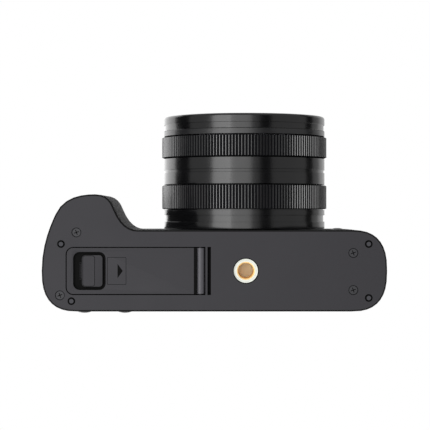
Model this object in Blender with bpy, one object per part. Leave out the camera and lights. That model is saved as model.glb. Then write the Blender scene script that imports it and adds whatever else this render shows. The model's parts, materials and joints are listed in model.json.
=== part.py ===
"""Compact camera of rangefinder style, as an assembly of separate solids.

Frame: origin under the middle of the bounding box, on the surface that the camera stands on.
+Z up, the lens looks along -Y, the grip is at -X. Lengths are metres.
"""
import math

import bmesh
import bpy
from mathutils import Euler, Vector
from mathutils.geometry import interpolate_bezier

MM = 0.001

# ---- body ----
BODY_WIDTH = 119.2 * MM
BODY_DEPTH = 28.1 * MM
DECK_HEIGHT = 63.5 * MM
END_DEPTH = 12.4 * MM          # how far in the round of each end begins
END_POWER = 2.6                # squareness of the round ends
FOOT_PROUD = 0.35 * MM
PLATE_THICKNESS = 3.0 * MM
PLATE_BEVEL = 0.55 * MM
TOP_COVER_HEIGHT = 8.5 * MM
DECK_ROUND = 1.6 * MM
SEAM_ROUND = 0.5 * MM
WALL = 1.8 * MM
SKIN = 1.0 * MM
GAP = 0.3 * MM                 # between pieces that touch
END_STEPS = 9                  # straight steps in a quarter of a round end
COLLAR_HEIGHT = 3.2 * MM       # bare rim of the front cover above the skins
SPLIT_FROM_REAR = 8.8 * MM     # seam of front and rear covers
SKIN_SPLIT = 9.0 * MM          # seam of the two skins, from the grip's inner end

# ---- grip ----
GRIP_PROUD = 12.35 * MM
FINGER_GAP = 8.15 * MM         # flat between the grip's foot and the lens flange
GRIP_SIDE = 0.328              # share of the way to the body's middle that the left side runs straight
GRIP_SHOULDER = (0.142, 0.432) # shares along the grip and out to its crest, where the round end turns in
GRIP_CREST = 0.558             # share along the grip where it stands out most
GRIP_WAIST = (0.755, 0.602)    # where the inner side is steepest

# ---- lens, distances forward of the front plane ----
LENS_OFFSET = 10.86 * MM       # from the body's middle
LENS_HEIGHT = 33.0 * MM
LENS_LENGTH = 40.7 * MM
BARREL_R = 29.2 * MM
KNURL_R = 29.9 * MM
NECK_R = 28.7 * MM
GROOVE_R = 28.85 * MM
TUBE_R = 26.5 * MM
TUBE_WALL = 2.0 * MM
TUBE_FLOOR = 2.0 * MM
THROAT_DEPTH = 4.0 * MM        # how far the tube reaches into the body
THROAT_R = 20.5 * MM
FLANGE_FRONT = 2.8 * MM
NECK_FRONT = 5.1 * MM
STEP_FRONT = 7.0 * MM
APERTURE_RING_FRONT = 16.2 * MM
MIDDLE_GROOVE = 20.4 * MM
MIDDLE_FRONT = 25.5 * MM
FOCUS_RING_FRONT = 33.6 * MM
FILTER_GROOVE = 35.6 * MM
GROOVE_WIDTH = 2.1 * MM
MIDDLE_GROOVE_WIDTH = 1.0 * MM
FILTER_R = 26.0 * MM
FILTER_DEPTH = 4.7 * MM
FRONT_GLASS_R = 19.0 * MM
REAR_GLASS_R = 17.0 * MM
FOCUS_CELL_BACK = 10.0 * MM
FOCUS_CELL_LENGTH = 6.0 * MM
FOCUS_GLASS_R = 17.5 * MM
RIM_ROUND = 0.8 * MM
RING_EDGE = 0.3 * MM
FILTER_EDGE = 0.4 * MM
BEZEL_LEDGE = 1.0 * MM
BEZEL_DEPTH = 1.6 * MM
FRONT_GLASS_THICKNESS = 3.0 * MM
FRONT_GLASS_RISE = 2.0 * MM
INNER_GLASS_THICKNESS = 2.0 * MM
INNER_GLASS_RISE = 1.5 * MM
GLASS_SETBACK = 1.0 * MM       # of the inner glasses in their seats
BLADES = 5
BLADE_BACK = 2.8 * MM
BLADE_THICKNESS = 0.4 * MM
BLADE_PITCH = 0.75 * MM
BLADE_CLEARANCE = 1.9 * MM     # from the tube's bore
BLADE_WIDTH = 5.0 * MM
BLADE_SPAN = 78.0              # degrees

# ---- bottom plate fittings ----
DOOR_FROM_FRONT = 5.8 * MM
DOOR_DEPTH = 16.6 * MM
DOOR_FROM_END = 8.3 * MM
DOOR_TO_SOCKET = 13.96 * MM
DOOR_THICKNESS = 2.0 * MM
DOOR_CORNER_R = 2.6 * MM
DOOR_GAP = 0.35 * MM
HINGE_R = 1.4 * MM
HINGE_GROOVE = 2.1 * MM
HINGE_RIB = 0.7 * MM
HINGE_SLOT = 1.2 * MM
HINGE_SLOT_DEPTH = 1.6 * MM
PIN_R = 0.5 * MM
PIN_BITE = 2.4 * MM
BARREL_START = -150            # degrees, where the barrel leaves the groove
BARREL_STEPS = 12
LATCH_LENGTH = 7.3 * MM
LATCH_WIDTH = 11.1 * MM
LATCH_THICKNESS = 0.8 * MM
LATCH_CORNER_R = 1.2 * MM
LATCH_EDGE = 0.15 * MM
LATCH_TRAVEL = 2.6 * MM
LATCH_FROM_DOOR = 2.6 * MM
LATCH_MARGIN = 1.0 * MM
LATCH_RECESS = 1.2 * MM
TONGUE_WIDTH = 5.0 * MM
TONGUE_CLEARANCE = 0.1 * MM    # below the plate's inner face
NECK_LENGTH = 3.0 * MM
SOCKET_R = 2.62 * MM           # bore of the 1/4-20 bush
SOCKET_FLANGE_R = 4.18 * MM
SOCKET_LENGTH = 9.5 * MM
SOCKET_EDGE = 0.3 * MM
FLANGE_STEP = 0.5 * MM         # the bush's neck is this much smaller in radius
FLANGE_SUNK = 0.1 * MM         # below the plate
SCREW_HEAD_R = 1.4 * MM
SCREW_HEAD_HEIGHT = 0.9 * MM
SCREW_SHANK_R = 0.8 * MM
SCREW_LENGTH = 6.0 * MM
SCREW_SINK = 1.5 * MM
CROSS_REACH = 0.95 * MM
CROSS_HALF_WIDTH = 0.22 * MM
FOOT_R = 1.05 * MM
FOOT_EDGE = 0.15 * MM
FOOT_HOLE_R = 1.35 * MM
FOOT_SINK = 1.3 * MM
SCREWS = ((-1, 12.0 * MM, 0.8 * MM), (-1, 6.3 * MM, 22.5 * MM),   # side, from that end, from the front
          (1, 11.7 * MM, 7.9 * MM), (1, 11.7 * MM, 20.7 * MM))
FEET = ((-1, 6.7 * MM, 4.8 * MM), (-1, 10.3 * MM, 24.5 * MM),
        (1, 6.4 * MM, 4.8 * MM), (1, 6.4 * MM, 23.4 * MM))

# ---- rear ----
BUTTON_PROUD = 1.1 * MM
BUTTON_R = 3.0 * MM
BUTTON_SHOULDER = 0.2 * MM     # straight side above the cover
BUTTON_DEPTH = 1.6 * MM        # how far a rear button reaches in
LOWER_BUTTON_HEIGHT = 12.0 * MM
UPPER_BUTTON_HEIGHT = 46.0 * MM
BUTTON_FROM_END = 13.9 * MM
BUTTON_SPACING = 14.2 * MM
WHEEL_R = 9.5 * MM
WHEEL_BORE_R = 4.4 * MM
WHEEL_HEIGHT = 29.0 * MM
WHEEL_PROUD = 0.9 * MM
WHEEL_EDGE = 0.4 * MM
SET_BUTTON_R = 4.0 * MM
SET_BUTTON_RISE = 0.3 * MM
SCREEN_WIDTH = 68.0 * MM
SCREEN_HEIGHT = 45.0 * MM
SCREEN_BOTTOM = 6.0 * MM
SCREEN_CORNER_R = 1.2 * MM
GLASS_THICKNESS = 0.9 * MM
GLASS_SUNK = 0.1 * MM
PANEL_THICKNESS = 2.0 * MM
PANEL_MARGIN = 1.0 * MM

# ---- top ----
SHUTTER_FROM_END = 17.6 * MM
SHUTTER_FROM_FRONT = 8.6 * MM
SHUTTER_R = 3.6 * MM
SHUTTER_TRAVEL = 0.8 * MM
SHUTTER_TOP = 3.1 * MM
SHUTTER_RISE = 0.5 * MM
LEVER_R = 6.5 * MM
LEVER_HEIGHT = 2.1 * MM
LEVER_TAB = 2.2 * MM
TAB_BITE = 1.0 * MM
TAB_CORNER_R = 0.8 * MM
STEM_R = 1.5 * MM
STEM_LENGTH = 5.0 * MM
SPEED_DIAL_R = 8.5 * MM
SPEED_DIAL_FROM_LENS = 27.0 * MM
EXPOSURE_DIAL_R = 5.8 * MM
EXPOSURE_DIAL_FROM_END = 14.1 * MM
EXPOSURE_DIAL_FROM_REAR = 7.2 * MM
DIAL_HEIGHT = 2.8 * MM
SHOE_WIDTH = 21.4 * MM
SHOE_LENGTH = 18.0 * MM
SHOE_SLOT_WIDTH = 18.6 * MM
SHOE_MOUTH = 12.6 * MM
SHOE_SLOT_HEIGHT = 2.1 * MM
SHOE_BASE = 0.8 * MM
SHOE_LIP = 0.9 * MM
WINDOW_FROM_END = 14.0 * MM
WINDOW_WIDTH = 13.0 * MM
WINDOW_HEIGHT = 5.0 * MM
WINDOW_THICKNESS = 1.2 * MM
WINDOW_CORNER_R = 0.6 * MM
EYEPIECE_WIDTH = 15.0 * MM
EYEPIECE_PROUD = 1.0 * MM
EYEPIECE_RIM = 1.0 * MM
EYEPIECE_EDGE = 0.3 * MM
LAMP_R = 2.35 * MM
LAMP_PROUD = 0.4 * MM
LAMP_DEPTH = 3.0 * MM
LAMP_FROM_END = 14.0 * MM
LAMP_HEIGHT = 44.0 * MM

# ---- side cover over the sockets ----
FLAP_HEIGHT = 20.0 * MM
FLAP_LENGTH = 8.0 * MM
FLAP_BOTTOM = 14.0 * MM
PORT_SHARES = (0.28, 0.72)     # heights of the two sockets in the cover's window
PORT_HEIGHT = 7.0 * MM
PORT_WIDTH = 3.2 * MM
PORT_FROM_SEAM = 3.2 * MM

# ---- inside ----
BOX_WALL = 1.0 * MM
BOX_HEIGHT = 39.0 * MM
CARD_THICKNESS = 2.1 * MM
CARD_WIDTH = 24.0 * MM
CARD_LENGTH = 32.0 * MM
BATTERY_CORNER_R = 1.5 * MM
BATTERY_EDGE = 0.4 * MM
BOARD = 1.0 * MM
SENSOR_DEPTH = 12.0 * MM       # of the sensor's board behind the front plane
SENSOR_BOARD_WIDTH = 28.0 * MM
SENSOR_BOARD_HEIGHT = 24.0 * MM
SENSOR_WIDTH = 20.0 * MM
SENSOR_HEIGHT = 15.0 * MM
SENSOR_THICKNESS = 1.5 * MM
BUSH_CLEARANCE = 1.0 * MM      # of the main board above the bush

# ---- places that follow ----
LEFT = -BODY_WIDTH / 2
RIGHT = BODY_WIDTH / 2
FRONT = LENS_LENGTH - (LENS_LENGTH + BODY_DEPTH + BUTTON_PROUD) / 2
REAR = FRONT + BODY_DEPTH
MIDDLE = (FRONT + REAR) / 2
SPLIT = REAR - SPLIT_FROM_REAR
PLATE_TOP = FOOT_PROUD + PLATE_THICKNESS
WALLS_BOTTOM = PLATE_TOP + GAP
WALLS_TOP = DECK_HEIGHT - TOP_COVER_HEIGHT - GAP
SKIN_TOP = WALLS_TOP - COLLAR_HEIGHT
LENS_X = LENS_OFFSET
GRIP_END = LENS_X - BARREL_R - FINGER_GAP
BUTTON_X = (LEFT + BUTTON_FROM_END, LEFT + BUTTON_FROM_END + BUTTON_SPACING)
WHEEL_X = sum(BUTTON_X) / 2
DOOR_LEFT = LEFT + DOOR_FROM_END
DOOR_RIGHT = LENS_X - DOOR_TO_SOCKET
DOOR_FRONT = FRONT + DOOR_FROM_FRONT
DOOR_BACK = DOOR_FRONT + DOOR_DEPTH
DOOR_MIDDLE = (DOOR_FRONT + DOOR_BACK) / 2
HINGE_X = DOOR_RIGHT - GAP - HINGE_R
HINGE_Z = FOOT_PROUD + HINGE_R
DOOR_TOP = FOOT_PROUD + DOOR_THICKNESS
FAR = 1.0                      # a length that any cutter outreaches the camera with
SCREW_SEAT = FOOT_PROUD + SCREW_SINK
FOOT_SEAT = FOOT_PROUD + FOOT_SINK
SCREW_PLACES = [(side * (BODY_WIDTH / 2 - from_end), FRONT + back) for side, from_end, back in SCREWS]
FOOT_PLACES = [(side * (BODY_WIDTH / 2 - from_end), FRONT + back) for side, from_end, back in FEET]
REAR_BUTTON_NAMES = ("lower_button_outer", "lower_button_inner", "upper_button_outer", "upper_button_inner")
REAR_BUTTON_PLACES = [(x, z) for z in (LOWER_BUTTON_HEIGHT, UPPER_BUTTON_HEIGHT) for x in BUTTON_X]
STEM_PLACES = {
    "shutter": (LEFT + SHUTTER_FROM_END, FRONT + SHUTTER_FROM_FRONT),
    "speed_dial": (LENS_X - SPEED_DIAL_FROM_LENS, MIDDLE),
    "exposure_dial": (LEFT + EXPOSURE_DIAL_FROM_END, REAR - EXPOSURE_DIAL_FROM_REAR),
}
FLAP_HINGE = Vector((RIGHT, SPLIT - 2 * GAP - FLAP_LENGTH))

FORWARD = Euler((math.radians(90), 0, 0))
BACKWARD = Euler((math.radians(-90), 0, 0))
DOWN = Euler((math.radians(180), 0, 0))
UP = Euler((0, 0, 0))

PAINTS = {
    "plate_grey": ((0.055, 0.055, 0.058), 0.45, 0.6),
    "cover_black": ((0.02, 0.02, 0.021), 0.5, 0.3),
    "skin_black": ((0.035, 0.035, 0.036), 0.75, 0.0),
    "barrel_black": ((0.018, 0.018, 0.019), 0.35, 0.8),
    "rubber_black": ((0.02, 0.02, 0.02), 0.85, 0.0),
    "plastic_black": ((0.025, 0.025, 0.026), 0.5, 0.0),
    "steel": ((0.5, 0.5, 0.5), 0.3, 1.0),
    "brass": ((0.75, 0.55, 0.28), 0.35, 1.0),
    "board_green": ((0.03, 0.14, 0.06), 0.5, 0.0),
    "cell_grey": ((0.2, 0.2, 0.22), 0.5, 0.0),
    "glass": ((0.6, 0.65, 0.7), 0.05, 0.0),
    "screen_black": ((0.01, 0.01, 0.012), 0.1, 0.0),
}


# ---- tools ----
def paint(name):
    """The named Principled material, made the first time it is asked for."""
    material = bpy.data.materials.get(name)
    if material is None:
        colour, roughness, metallic = PAINTS[name]
        material = bpy.data.materials.new(name)
        material.use_nodes = True
        shader = material.node_tree.nodes["Principled BSDF"]
        shader.inputs["Base Color"].default_value = (*colour, 1.0)
        shader.inputs["Roughness"].default_value = roughness
        shader.inputs["Metallic"].default_value = metallic
    return material


def finish_piece(name, bm, colour, place=(0, 0, 0), turn=UP):
    """Turn a bmesh into a named object; colour None makes it a cutter."""
    bmesh.ops.recalc_face_normals(bm, faces=bm.faces)
    mesh = bpy.data.meshes.new(name)
    bm.to_mesh(mesh)
    bm.free()
    mesh.shade_smooth()
    mesh.set_sharp_from_angle(angle=math.radians(35))
    piece = bpy.data.objects.new(name, mesh)
    piece.location = place
    piece.rotation_euler = turn
    bpy.context.scene.collection.objects.link(piece)
    if colour is None:
        piece.hide_render = True
        piece.display_type = 'WIRE'
    else:
        mesh.materials.append(paint(colour))
        piece.parent = CAMERA
    return piece


def combine(piece, *tools, operation='DIFFERENCE'):
    """Cut the tools from the piece, or join or intersect it with them."""
    for tool in tools:
        step = piece.modifiers.new(operation.lower(), 'BOOLEAN')
        step.operation = operation
        step.solver = 'EXACT'
        step.object = tool
    return piece


def inset(outline, distance):
    """The closed outline moved inwards by the distance, point by point."""
    if distance == 0:
        return outline
    moved = []
    for i, point in enumerate(outline):
        before = (point - outline[i - 1]).normalized()
        after = (outline[(i + 1) % len(outline)] - point).normalized()
        normal = Vector((-before.y - after.y, before.x + after.x)).normalized()
        lean = normal.dot(Vector((-after.y, after.x)))
        moved.append(point + normal * distance / lean)
    return moved


def stack(name, outline, levels, colour, place=(0, 0, 0), turn=UP):
    """A solid whose outline, inset by a chosen distance, changes with height."""
    bm = bmesh.new()
    rings = []
    for height, distance in levels:
        rings.append([bm.verts.new((p.x, p.y, height)) for p in inset(outline, distance)])
    for low, high in zip(rings, rings[1:]):
        for i in range(len(low)):
            j = (i + 1) % len(low)
            bm.faces.new((low[i], low[j], high[j], high[i]))
    bm.faces.new(rings[0][::-1])
    bm.faces.new(rings[-1])
    return finish_piece(name, bm, colour, place, turn)


def turned(name, profile, colour, place=(0, 0, 0), turn=UP, steps=32):
    """A turned solid. The profile is (radius, height) along the piece's own Z.

    A profile that starts and ends on the axis makes a solid; any other is closed into a ring.
    """
    bm = bmesh.new()
    points = [bm.verts.new((r, 0, h)) for r, h in profile]
    edges = [bm.edges.new(pair) for pair in zip(points, points[1:])]
    if profile[0][0] > 0:
        edges.append(bm.edges.new((points[-1], points[0])))
    bmesh.ops.spin(bm, geom=points + edges, cent=(0, 0, 0), axis=(0, 0, 1),
                   angle=math.tau, steps=steps, use_merge=True)
    bmesh.ops.remove_doubles(bm, verts=bm.verts, dist=1e-7)
    return finish_piece(name, bm, colour, place, turn)


def rectangle(x0, x1, y0, y1, radii=(0, 0, 0, 0), steps=4):
    """A rectangle's outline, anticlockwise from its lower left corner, each corner with its radius."""
    corners = ((x0, y0, 1, 1, 180), (x1, y0, -1, 1, 270), (x1, y1, -1, -1, 0), (x0, y1, 1, -1, 90))
    points = []
    for (x, y, sx, sy, start), radius in zip(corners, radii):
        count = steps if radius > 0 else 0
        for k in range(count + 1):
            angle = math.radians(start + 90 * k / max(count, 1))
            centre = Vector((x + sx * radius, y + sy * radius))
            points.append(centre + radius * Vector((math.cos(angle), math.sin(angle))))
    return points


def block(name, x0, x1, y0, y1, z0, z1, colour, radius=0.0, edge=0.0):
    """A box with upright corners of the given radius and a small edge round its top and bottom."""
    outline = rectangle(x0, x1, y0, y1, (radius,) * 4)
    levels = [(z0, 0), (z1, 0)]
    if edge > 0:
        levels = [(z0, edge), (z0 + edge, 0), (z1 - edge, 0), (z1, edge)]
    return stack(name, outline, levels, colour)


def panel(name, x0, x1, z0, z1, y0, y1, colour, radius=0.0, edge=0.0):
    """A block whose rounded outline is seen from the front or the rear, thick along Y."""
    outline = rectangle(x0, x1, -z1, -z0, (radius,) * 4)
    levels = [(y0, edge), (y0 + edge, 0), (y1 - edge, 0), (y1, edge)] if edge else [(y0, 0), (y1, 0)]
    return stack(name, outline, levels, colour, turn=BACKWARD)


def rod(name, radius, z0, z1, colour, place, turn=UP, steps=24):
    """A plain cylinder along the piece's own Z."""
    return turned(name, [(0, z0), (radius, z0), (radius, z1), (0, z1)], colour, place, turn, steps)


def round_edge(base_height, radius, steps=4):
    """Levels of an upper edge rounded with the radius, ending at base_height + radius."""
    levels = []
    for k in range(steps + 1):
        angle = math.radians(90 * k / steps)
        levels.append((base_height + radius * math.sin(angle), radius * (1 - math.cos(angle))))
    return levels


# ---- the body's plan ----
def end_curve(side, first, last, steps):
    """Part of a round end: a superellipse from angle first to last, in degrees."""
    centre_x = side * (BODY_WIDTH / 2 - END_DEPTH)
    points = []
    for k in range(steps + 1):
        angle = math.radians(first + (last - first) * k / steps)
        x = abs(math.cos(angle)) ** (2 / END_POWER)
        y = abs(math.sin(angle)) ** (2 / END_POWER)
        points.append(Vector((centre_x + side * END_DEPTH * x,
                              MIDDLE + math.copysign(BODY_DEPTH / 2 * y, math.sin(angle)))))
    return points


def grip_curve():
    """The grip, from the left end's middle round its crest to the flat beside the lens."""
    width = GRIP_END - LEFT
    crest = FRONT - GRIP_PROUD

    def at(along, out):
        """A point a share of the way along the grip and a share of the way out to its crest."""
        return Vector((LEFT + along * width, FRONT - out * GRIP_PROUD))

    left_end = Vector((LEFT, MIDDLE))
    shoulder = at(*GRIP_SHOULDER)
    crest_point = Vector((LEFT + GRIP_CREST * width, crest))
    waist = at(*GRIP_WAIST)
    foot = at(1.0, 0.0)
    pieces = (
        (left_end, Vector((LEFT, FRONT + GRIP_SIDE * (MIDDLE - FRONT))), at(0.101, 0.186), shoulder),
        (shoulder, at(0.229, 0.951), at(0.425, 1.0), crest_point),
        (crest_point, at(0.689, 1.0), at(0.729, 0.777), waist),
        (waist, at(0.827, 0.131), at(0.913, 0.0), foot),
    )
    points = [left_end]
    for start, handle, far_handle, end in pieces:
        points += [Vector(p) for p in interpolate_bezier(start, handle, far_handle, end, 7)][1:]
    return points


def body_outline(with_grip):
    """The body's plan, anticlockwise from above, with or without the grip."""
    points = end_curve(1, -90, 90, 2 * END_STEPS) + end_curve(-1, 90, 180, END_STEPS)
    if with_grip:
        return points + grip_curve()[1:]
    return points + end_curve(-1, 180, 270, END_STEPS)[1:]


def behind(name, y, before=False):
    """A cutter that holds everything behind the plane at y, or before it."""
    y0, y1 = (-FAR, y) if before else (y, FAR)
    return block(name, -FAR, FAR, y0, y1, -FAR, FAR, None)


def bore(name, radius, place, turn=UP, depth=None, steps=32):
    """A round cutter from the place along the turned Z, or through everything."""
    reach = FAR / 2 if depth is None else depth
    return rod(name, radius, -FAR / 2 if depth is None else 0, reach, None, place, turn, steps)


# ---- covers ----
def make_bottom_plate():
    """The flat underside: door opening, hinge slot, and holes for the bush, screws and feet."""
    levels = [(FOOT_PROUD, PLATE_BEVEL), (FOOT_PROUD + PLATE_BEVEL, 0), (PLATE_TOP, 0)]
    plate = stack("bottom_plate", body_outline(True), levels, "plate_grey")
    opening = stack("cut_door_opening", door_outline(0), [(-FAR, 0), (FAR, 0)], None)
    slot_left = DOOR_RIGHT + HINGE_RIB
    slot = block("cut_hinge_slot", slot_left, slot_left + HINGE_SLOT, DOOR_FRONT, DOOR_BACK, -FAR,
                 FOOT_PROUD + HINGE_SLOT_DEPTH, None)
    pin_hole = rod("cut_pin_seats", PIN_R + GAP, DOOR_FRONT - PIN_BITE - GAP, DOOR_BACK + PIN_BITE + GAP,
                   None, (HINGE_X, 0, HINGE_Z), BACKWARD)
    pocket = block("cut_tongue_pocket", DOOR_LEFT - LATCH_TRAVEL - GAP, DOOR_LEFT + GAP,
                   DOOR_MIDDLE - TONGUE_WIDTH / 2 - GAP, DOOR_MIDDLE + TONGUE_WIDTH / 2 + GAP,
                   DOOR_TOP, FAR, None)
    combine(plate, opening, slot, pin_hole, pocket)
    combine(plate, bore("cut_bush_hole", SOCKET_FLANGE_R + GAP, (LENS_X, MIDDLE, 0), steps=28))
    head_hole_r, shank_hole_r = SCREW_HEAD_R + GAP, SCREW_SHANK_R + GAP
    stepped_hole = [(0, -FAR), (head_hole_r, -FAR), (head_hole_r, SCREW_SEAT),
                    (shank_hole_r, SCREW_SEAT), (shank_hole_r, FAR), (0, FAR)]
    for i, (x, y) in enumerate(SCREW_PLACES, 1):
        combine(plate, turned(f"cut_screw_hole_{i}", stepped_hole, None, (x, y, 0), UP, 16))
    for i, (x, y) in enumerate(FOOT_PLACES, 1):
        combine(plate, bore(f"cut_foot_hole_{i}", FOOT_HOLE_R, (x, y, FOOT_SEAT + GAP), DOWN, FAR, 16))


def door_outline(clearance):
    """The battery door's opening, less a clearance: round corners at the end, square at the hinge."""
    left_r = DOOR_CORNER_R - clearance
    return rectangle(DOOR_LEFT + clearance, DOOR_RIGHT, DOOR_FRONT + clearance, DOOR_BACK - clearance,
                     (left_r, 0, 0, left_r), 6)


def make_front_cover():
    """The front half of the walls, with the grip closed at its top, recessed for the skins."""
    recess = SKIN + GAP
    levels = [(WALLS_BOTTOM, recess), (SKIN_TOP, recess), (SKIN_TOP, 0)]
    levels += round_edge(WALLS_TOP - SEAM_ROUND, SEAM_ROUND, 2)
    cover = stack("front_cover", body_outline(True), levels, "cover_black")
    hollow_inset = recess + WALL
    hollow = stack("cut_front_hollow", body_outline(True),
                   [(-FAR, hollow_inset), (WALLS_TOP - WALL, hollow_inset)], None)
    deck_opening = stack("cut_front_top", body_outline(False),
                         [(0, hollow_inset), (FAR, hollow_inset)], None)
    combine(cover, hollow, deck_opening, behind("cut_rear_half", SPLIT - GAP / 2), THROAT_HOLE, LAMP_HOLE)
    for number in range(1, len(PORT_SHARES) + 1):
        combine(cover, bpy.data.objects[f"cut_port_{number}"])


def make_rear_cover():
    """The rear half of the walls, with the screen's window and the holes of the controls."""
    levels = [(WALLS_BOTTOM, SEAM_ROUND / 2), (WALLS_BOTTOM + SEAM_ROUND / 2, 0)]
    levels += round_edge(WALLS_TOP - SEAM_ROUND, SEAM_ROUND, 2)
    cover = stack("rear_cover", body_outline(False), levels, "cover_black")
    hollow = stack("cut_rear_hollow", body_outline(False), [(-FAR, WALL), (FAR, WALL)], None)
    window = panel("cut_screen_window", LENS_X - SCREEN_WIDTH / 2 - GAP, LENS_X + SCREEN_WIDTH / 2 + GAP,
                   SCREEN_BOTTOM - GAP, SCREEN_BOTTOM + SCREEN_HEIGHT + GAP, SPLIT + WALL, FAR, None,
                   SCREEN_CORNER_R + GAP)
    combine(cover, hollow, behind("cut_front_half", SPLIT + GAP / 2, before=True), window)
    combine(cover, bore("cut_wheel_hole", WHEEL_R + GAP, (WHEEL_X, SPLIT, WHEEL_HEIGHT), BACKWARD, FAR, 32))
    for i, (x, z) in enumerate(REAR_BUTTON_PLACES, 1):
        combine(cover, bore(f"cut_button_hole_{i}", BUTTON_R + GAP, (x, SPLIT, z), BACKWARD, FAR, 18))


def make_skins():
    """The thin leather-like covers of the grip and of the front, round to the covers' seam."""
    seam = GRIP_END - GRIP_PROUD + SKIN_SPLIT
    for name, keep_left in (("grip_skin", True), ("front_skin", False)):
        skin = stack(name, body_outline(True), [(WALLS_BOTTOM, 0), (SKIN_TOP - GAP, 0)], "skin_black")
        inner = stack(f"cut_{name}_inner", body_outline(True), [(-FAR, SKIN), (FAR, SKIN)], None)
        x0, x1 = (seam - GAP / 2, FAR) if keep_left else (-FAR, seam + GAP / 2)
        side = block(f"cut_{name}_side", x0, x1, -FAR, FAR, -FAR, FAR, None)
        combine(skin, inner, side, behind(f"cut_{name}_rear", SPLIT - GAP / 2))
        if not keep_left:
            combine(skin, THROAT_HOLE, LAMP_HOLE, flap_box("cut_flap_window", GAP))


def flap_box(name, margin):
    """The region of the side cover over the sockets, with a margin all round."""
    y_middle = SPLIT - 2 * GAP - FLAP_LENGTH / 2
    return block(name, RIGHT - END_DEPTH / 2, FAR, y_middle - FLAP_LENGTH / 2 - margin,
                 y_middle + FLAP_LENGTH / 2 + margin, FLAP_BOTTOM - margin,
                 FLAP_BOTTOM + FLAP_HEIGHT + margin, None)


def make_top_cover():
    """The top cover, a cap with a rounded deck and the holes of the controls and windows."""
    base = WALLS_TOP + GAP
    levels = [(base, 0)] + round_edge(DECK_HEIGHT - DECK_ROUND, DECK_ROUND, 4)
    cover = stack("top_cover", body_outline(False), levels, "plate_grey")
    hollow = stack("cut_top_hollow", body_outline(False), [(0, WALL), (DECK_HEIGHT - WALL, WALL)], None)
    shoe_seat = block("cut_shoe_seat", LENS_X - SHOE_WIDTH / 2 - GAP, LENS_X + SHOE_WIDTH / 2 + GAP,
                      MIDDLE - SHOE_LENGTH / 2 - GAP, MIDDLE + SHOE_LENGTH / 2 + GAP,
                      DECK_HEIGHT - SHOE_BASE - GAP, FAR, None)
    front_window = panel("cut_front_window", *window_sides(WINDOW_WIDTH, WINDOW_HEIGHT, GAP),
                         -FAR, FRONT + 2 * WALL, None, WINDOW_CORNER_R + GAP)
    rear_window = panel("cut_rear_window", *window_sides(EYEPIECE_WIDTH, WINDOW_HEIGHT, GAP),
                        REAR - 2 * WALL, FAR, None, WINDOW_CORNER_R + GAP)
    combine(cover, hollow, shoe_seat, front_window, rear_window)
    for name, (x, y) in STEM_PLACES.items():
        combine(cover, bore(f"cut_{name}_hole", STEM_R + GAP, (x, y, DECK_HEIGHT - DECK_ROUND - WALL),
                            UP, FAR, 20))


def window_sides(width, height, margin):
    """Left, right, bottom and top of a viewfinder window in the top cover's wall."""
    x = RIGHT - WINDOW_FROM_END
    z = WALLS_TOP + GAP + (TOP_COVER_HEIGHT - DECK_ROUND) / 2
    half_width, half_height = width / 2 + margin, height / 2 + margin
    return x - half_width, x + half_width, z - half_height, z + half_height


# ---- fittings of the bottom ----
def make_bush_screws_feet():
    flange = FOOT_PROUD + FLANGE_SUNK
    neck_r = SOCKET_FLANGE_R - FLANGE_STEP
    turned("tripod_bush", [
        (0, SOCKET_LENGTH), (SOCKET_R, SOCKET_LENGTH),
        (SOCKET_R, flange + SOCKET_EDGE), (SOCKET_R + SOCKET_EDGE, flange), (SOCKET_FLANGE_R, flange),
        (SOCKET_FLANGE_R, PLATE_TOP), (neck_r, PLATE_TOP), (neck_r, SOCKET_LENGTH + WALL),
        (0, SOCKET_LENGTH + WALL)],
        "brass", (LENS_X, MIDDLE, 0), steps=28)
    head = SCREW_HEAD_HEIGHT
    for i, (x, y) in enumerate(SCREW_PLACES, 1):
        screw = turned(f"bottom_screw_{i}", [
            (0, -head), (SCREW_HEAD_R * 0.8, -head), (SCREW_HEAD_R, -head * 0.6), (SCREW_HEAD_R, 0),
            (SCREW_SHANK_R, 0), (SCREW_SHANK_R, SCREW_LENGTH), (0, SCREW_LENGTH)],
            "steel", (x, y, SCREW_SEAT - GAP), steps=14)
        for k, (dx, dy) in enumerate(((CROSS_REACH, CROSS_HALF_WIDTH), (CROSS_HALF_WIDTH, CROSS_REACH)), 1):
            slot = block(f"cut_cross_{i}_{k}", x - dx, x + dx, y - dy, y + dy, -FAR,
                         SCREW_SEAT - GAP - head / 2, None)
            combine(screw, slot)
    for i, (x, y) in enumerate(FOOT_PLACES, 1):
        turned(f"foot_{i}", [(0, 0), (FOOT_R - FOOT_EDGE, 0), (FOOT_R, FOOT_EDGE), (FOOT_R, FOOT_SEAT),
                             (0, FOOT_SEAT)], "rubber_black", (x, y, 0), steps=14)


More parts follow.
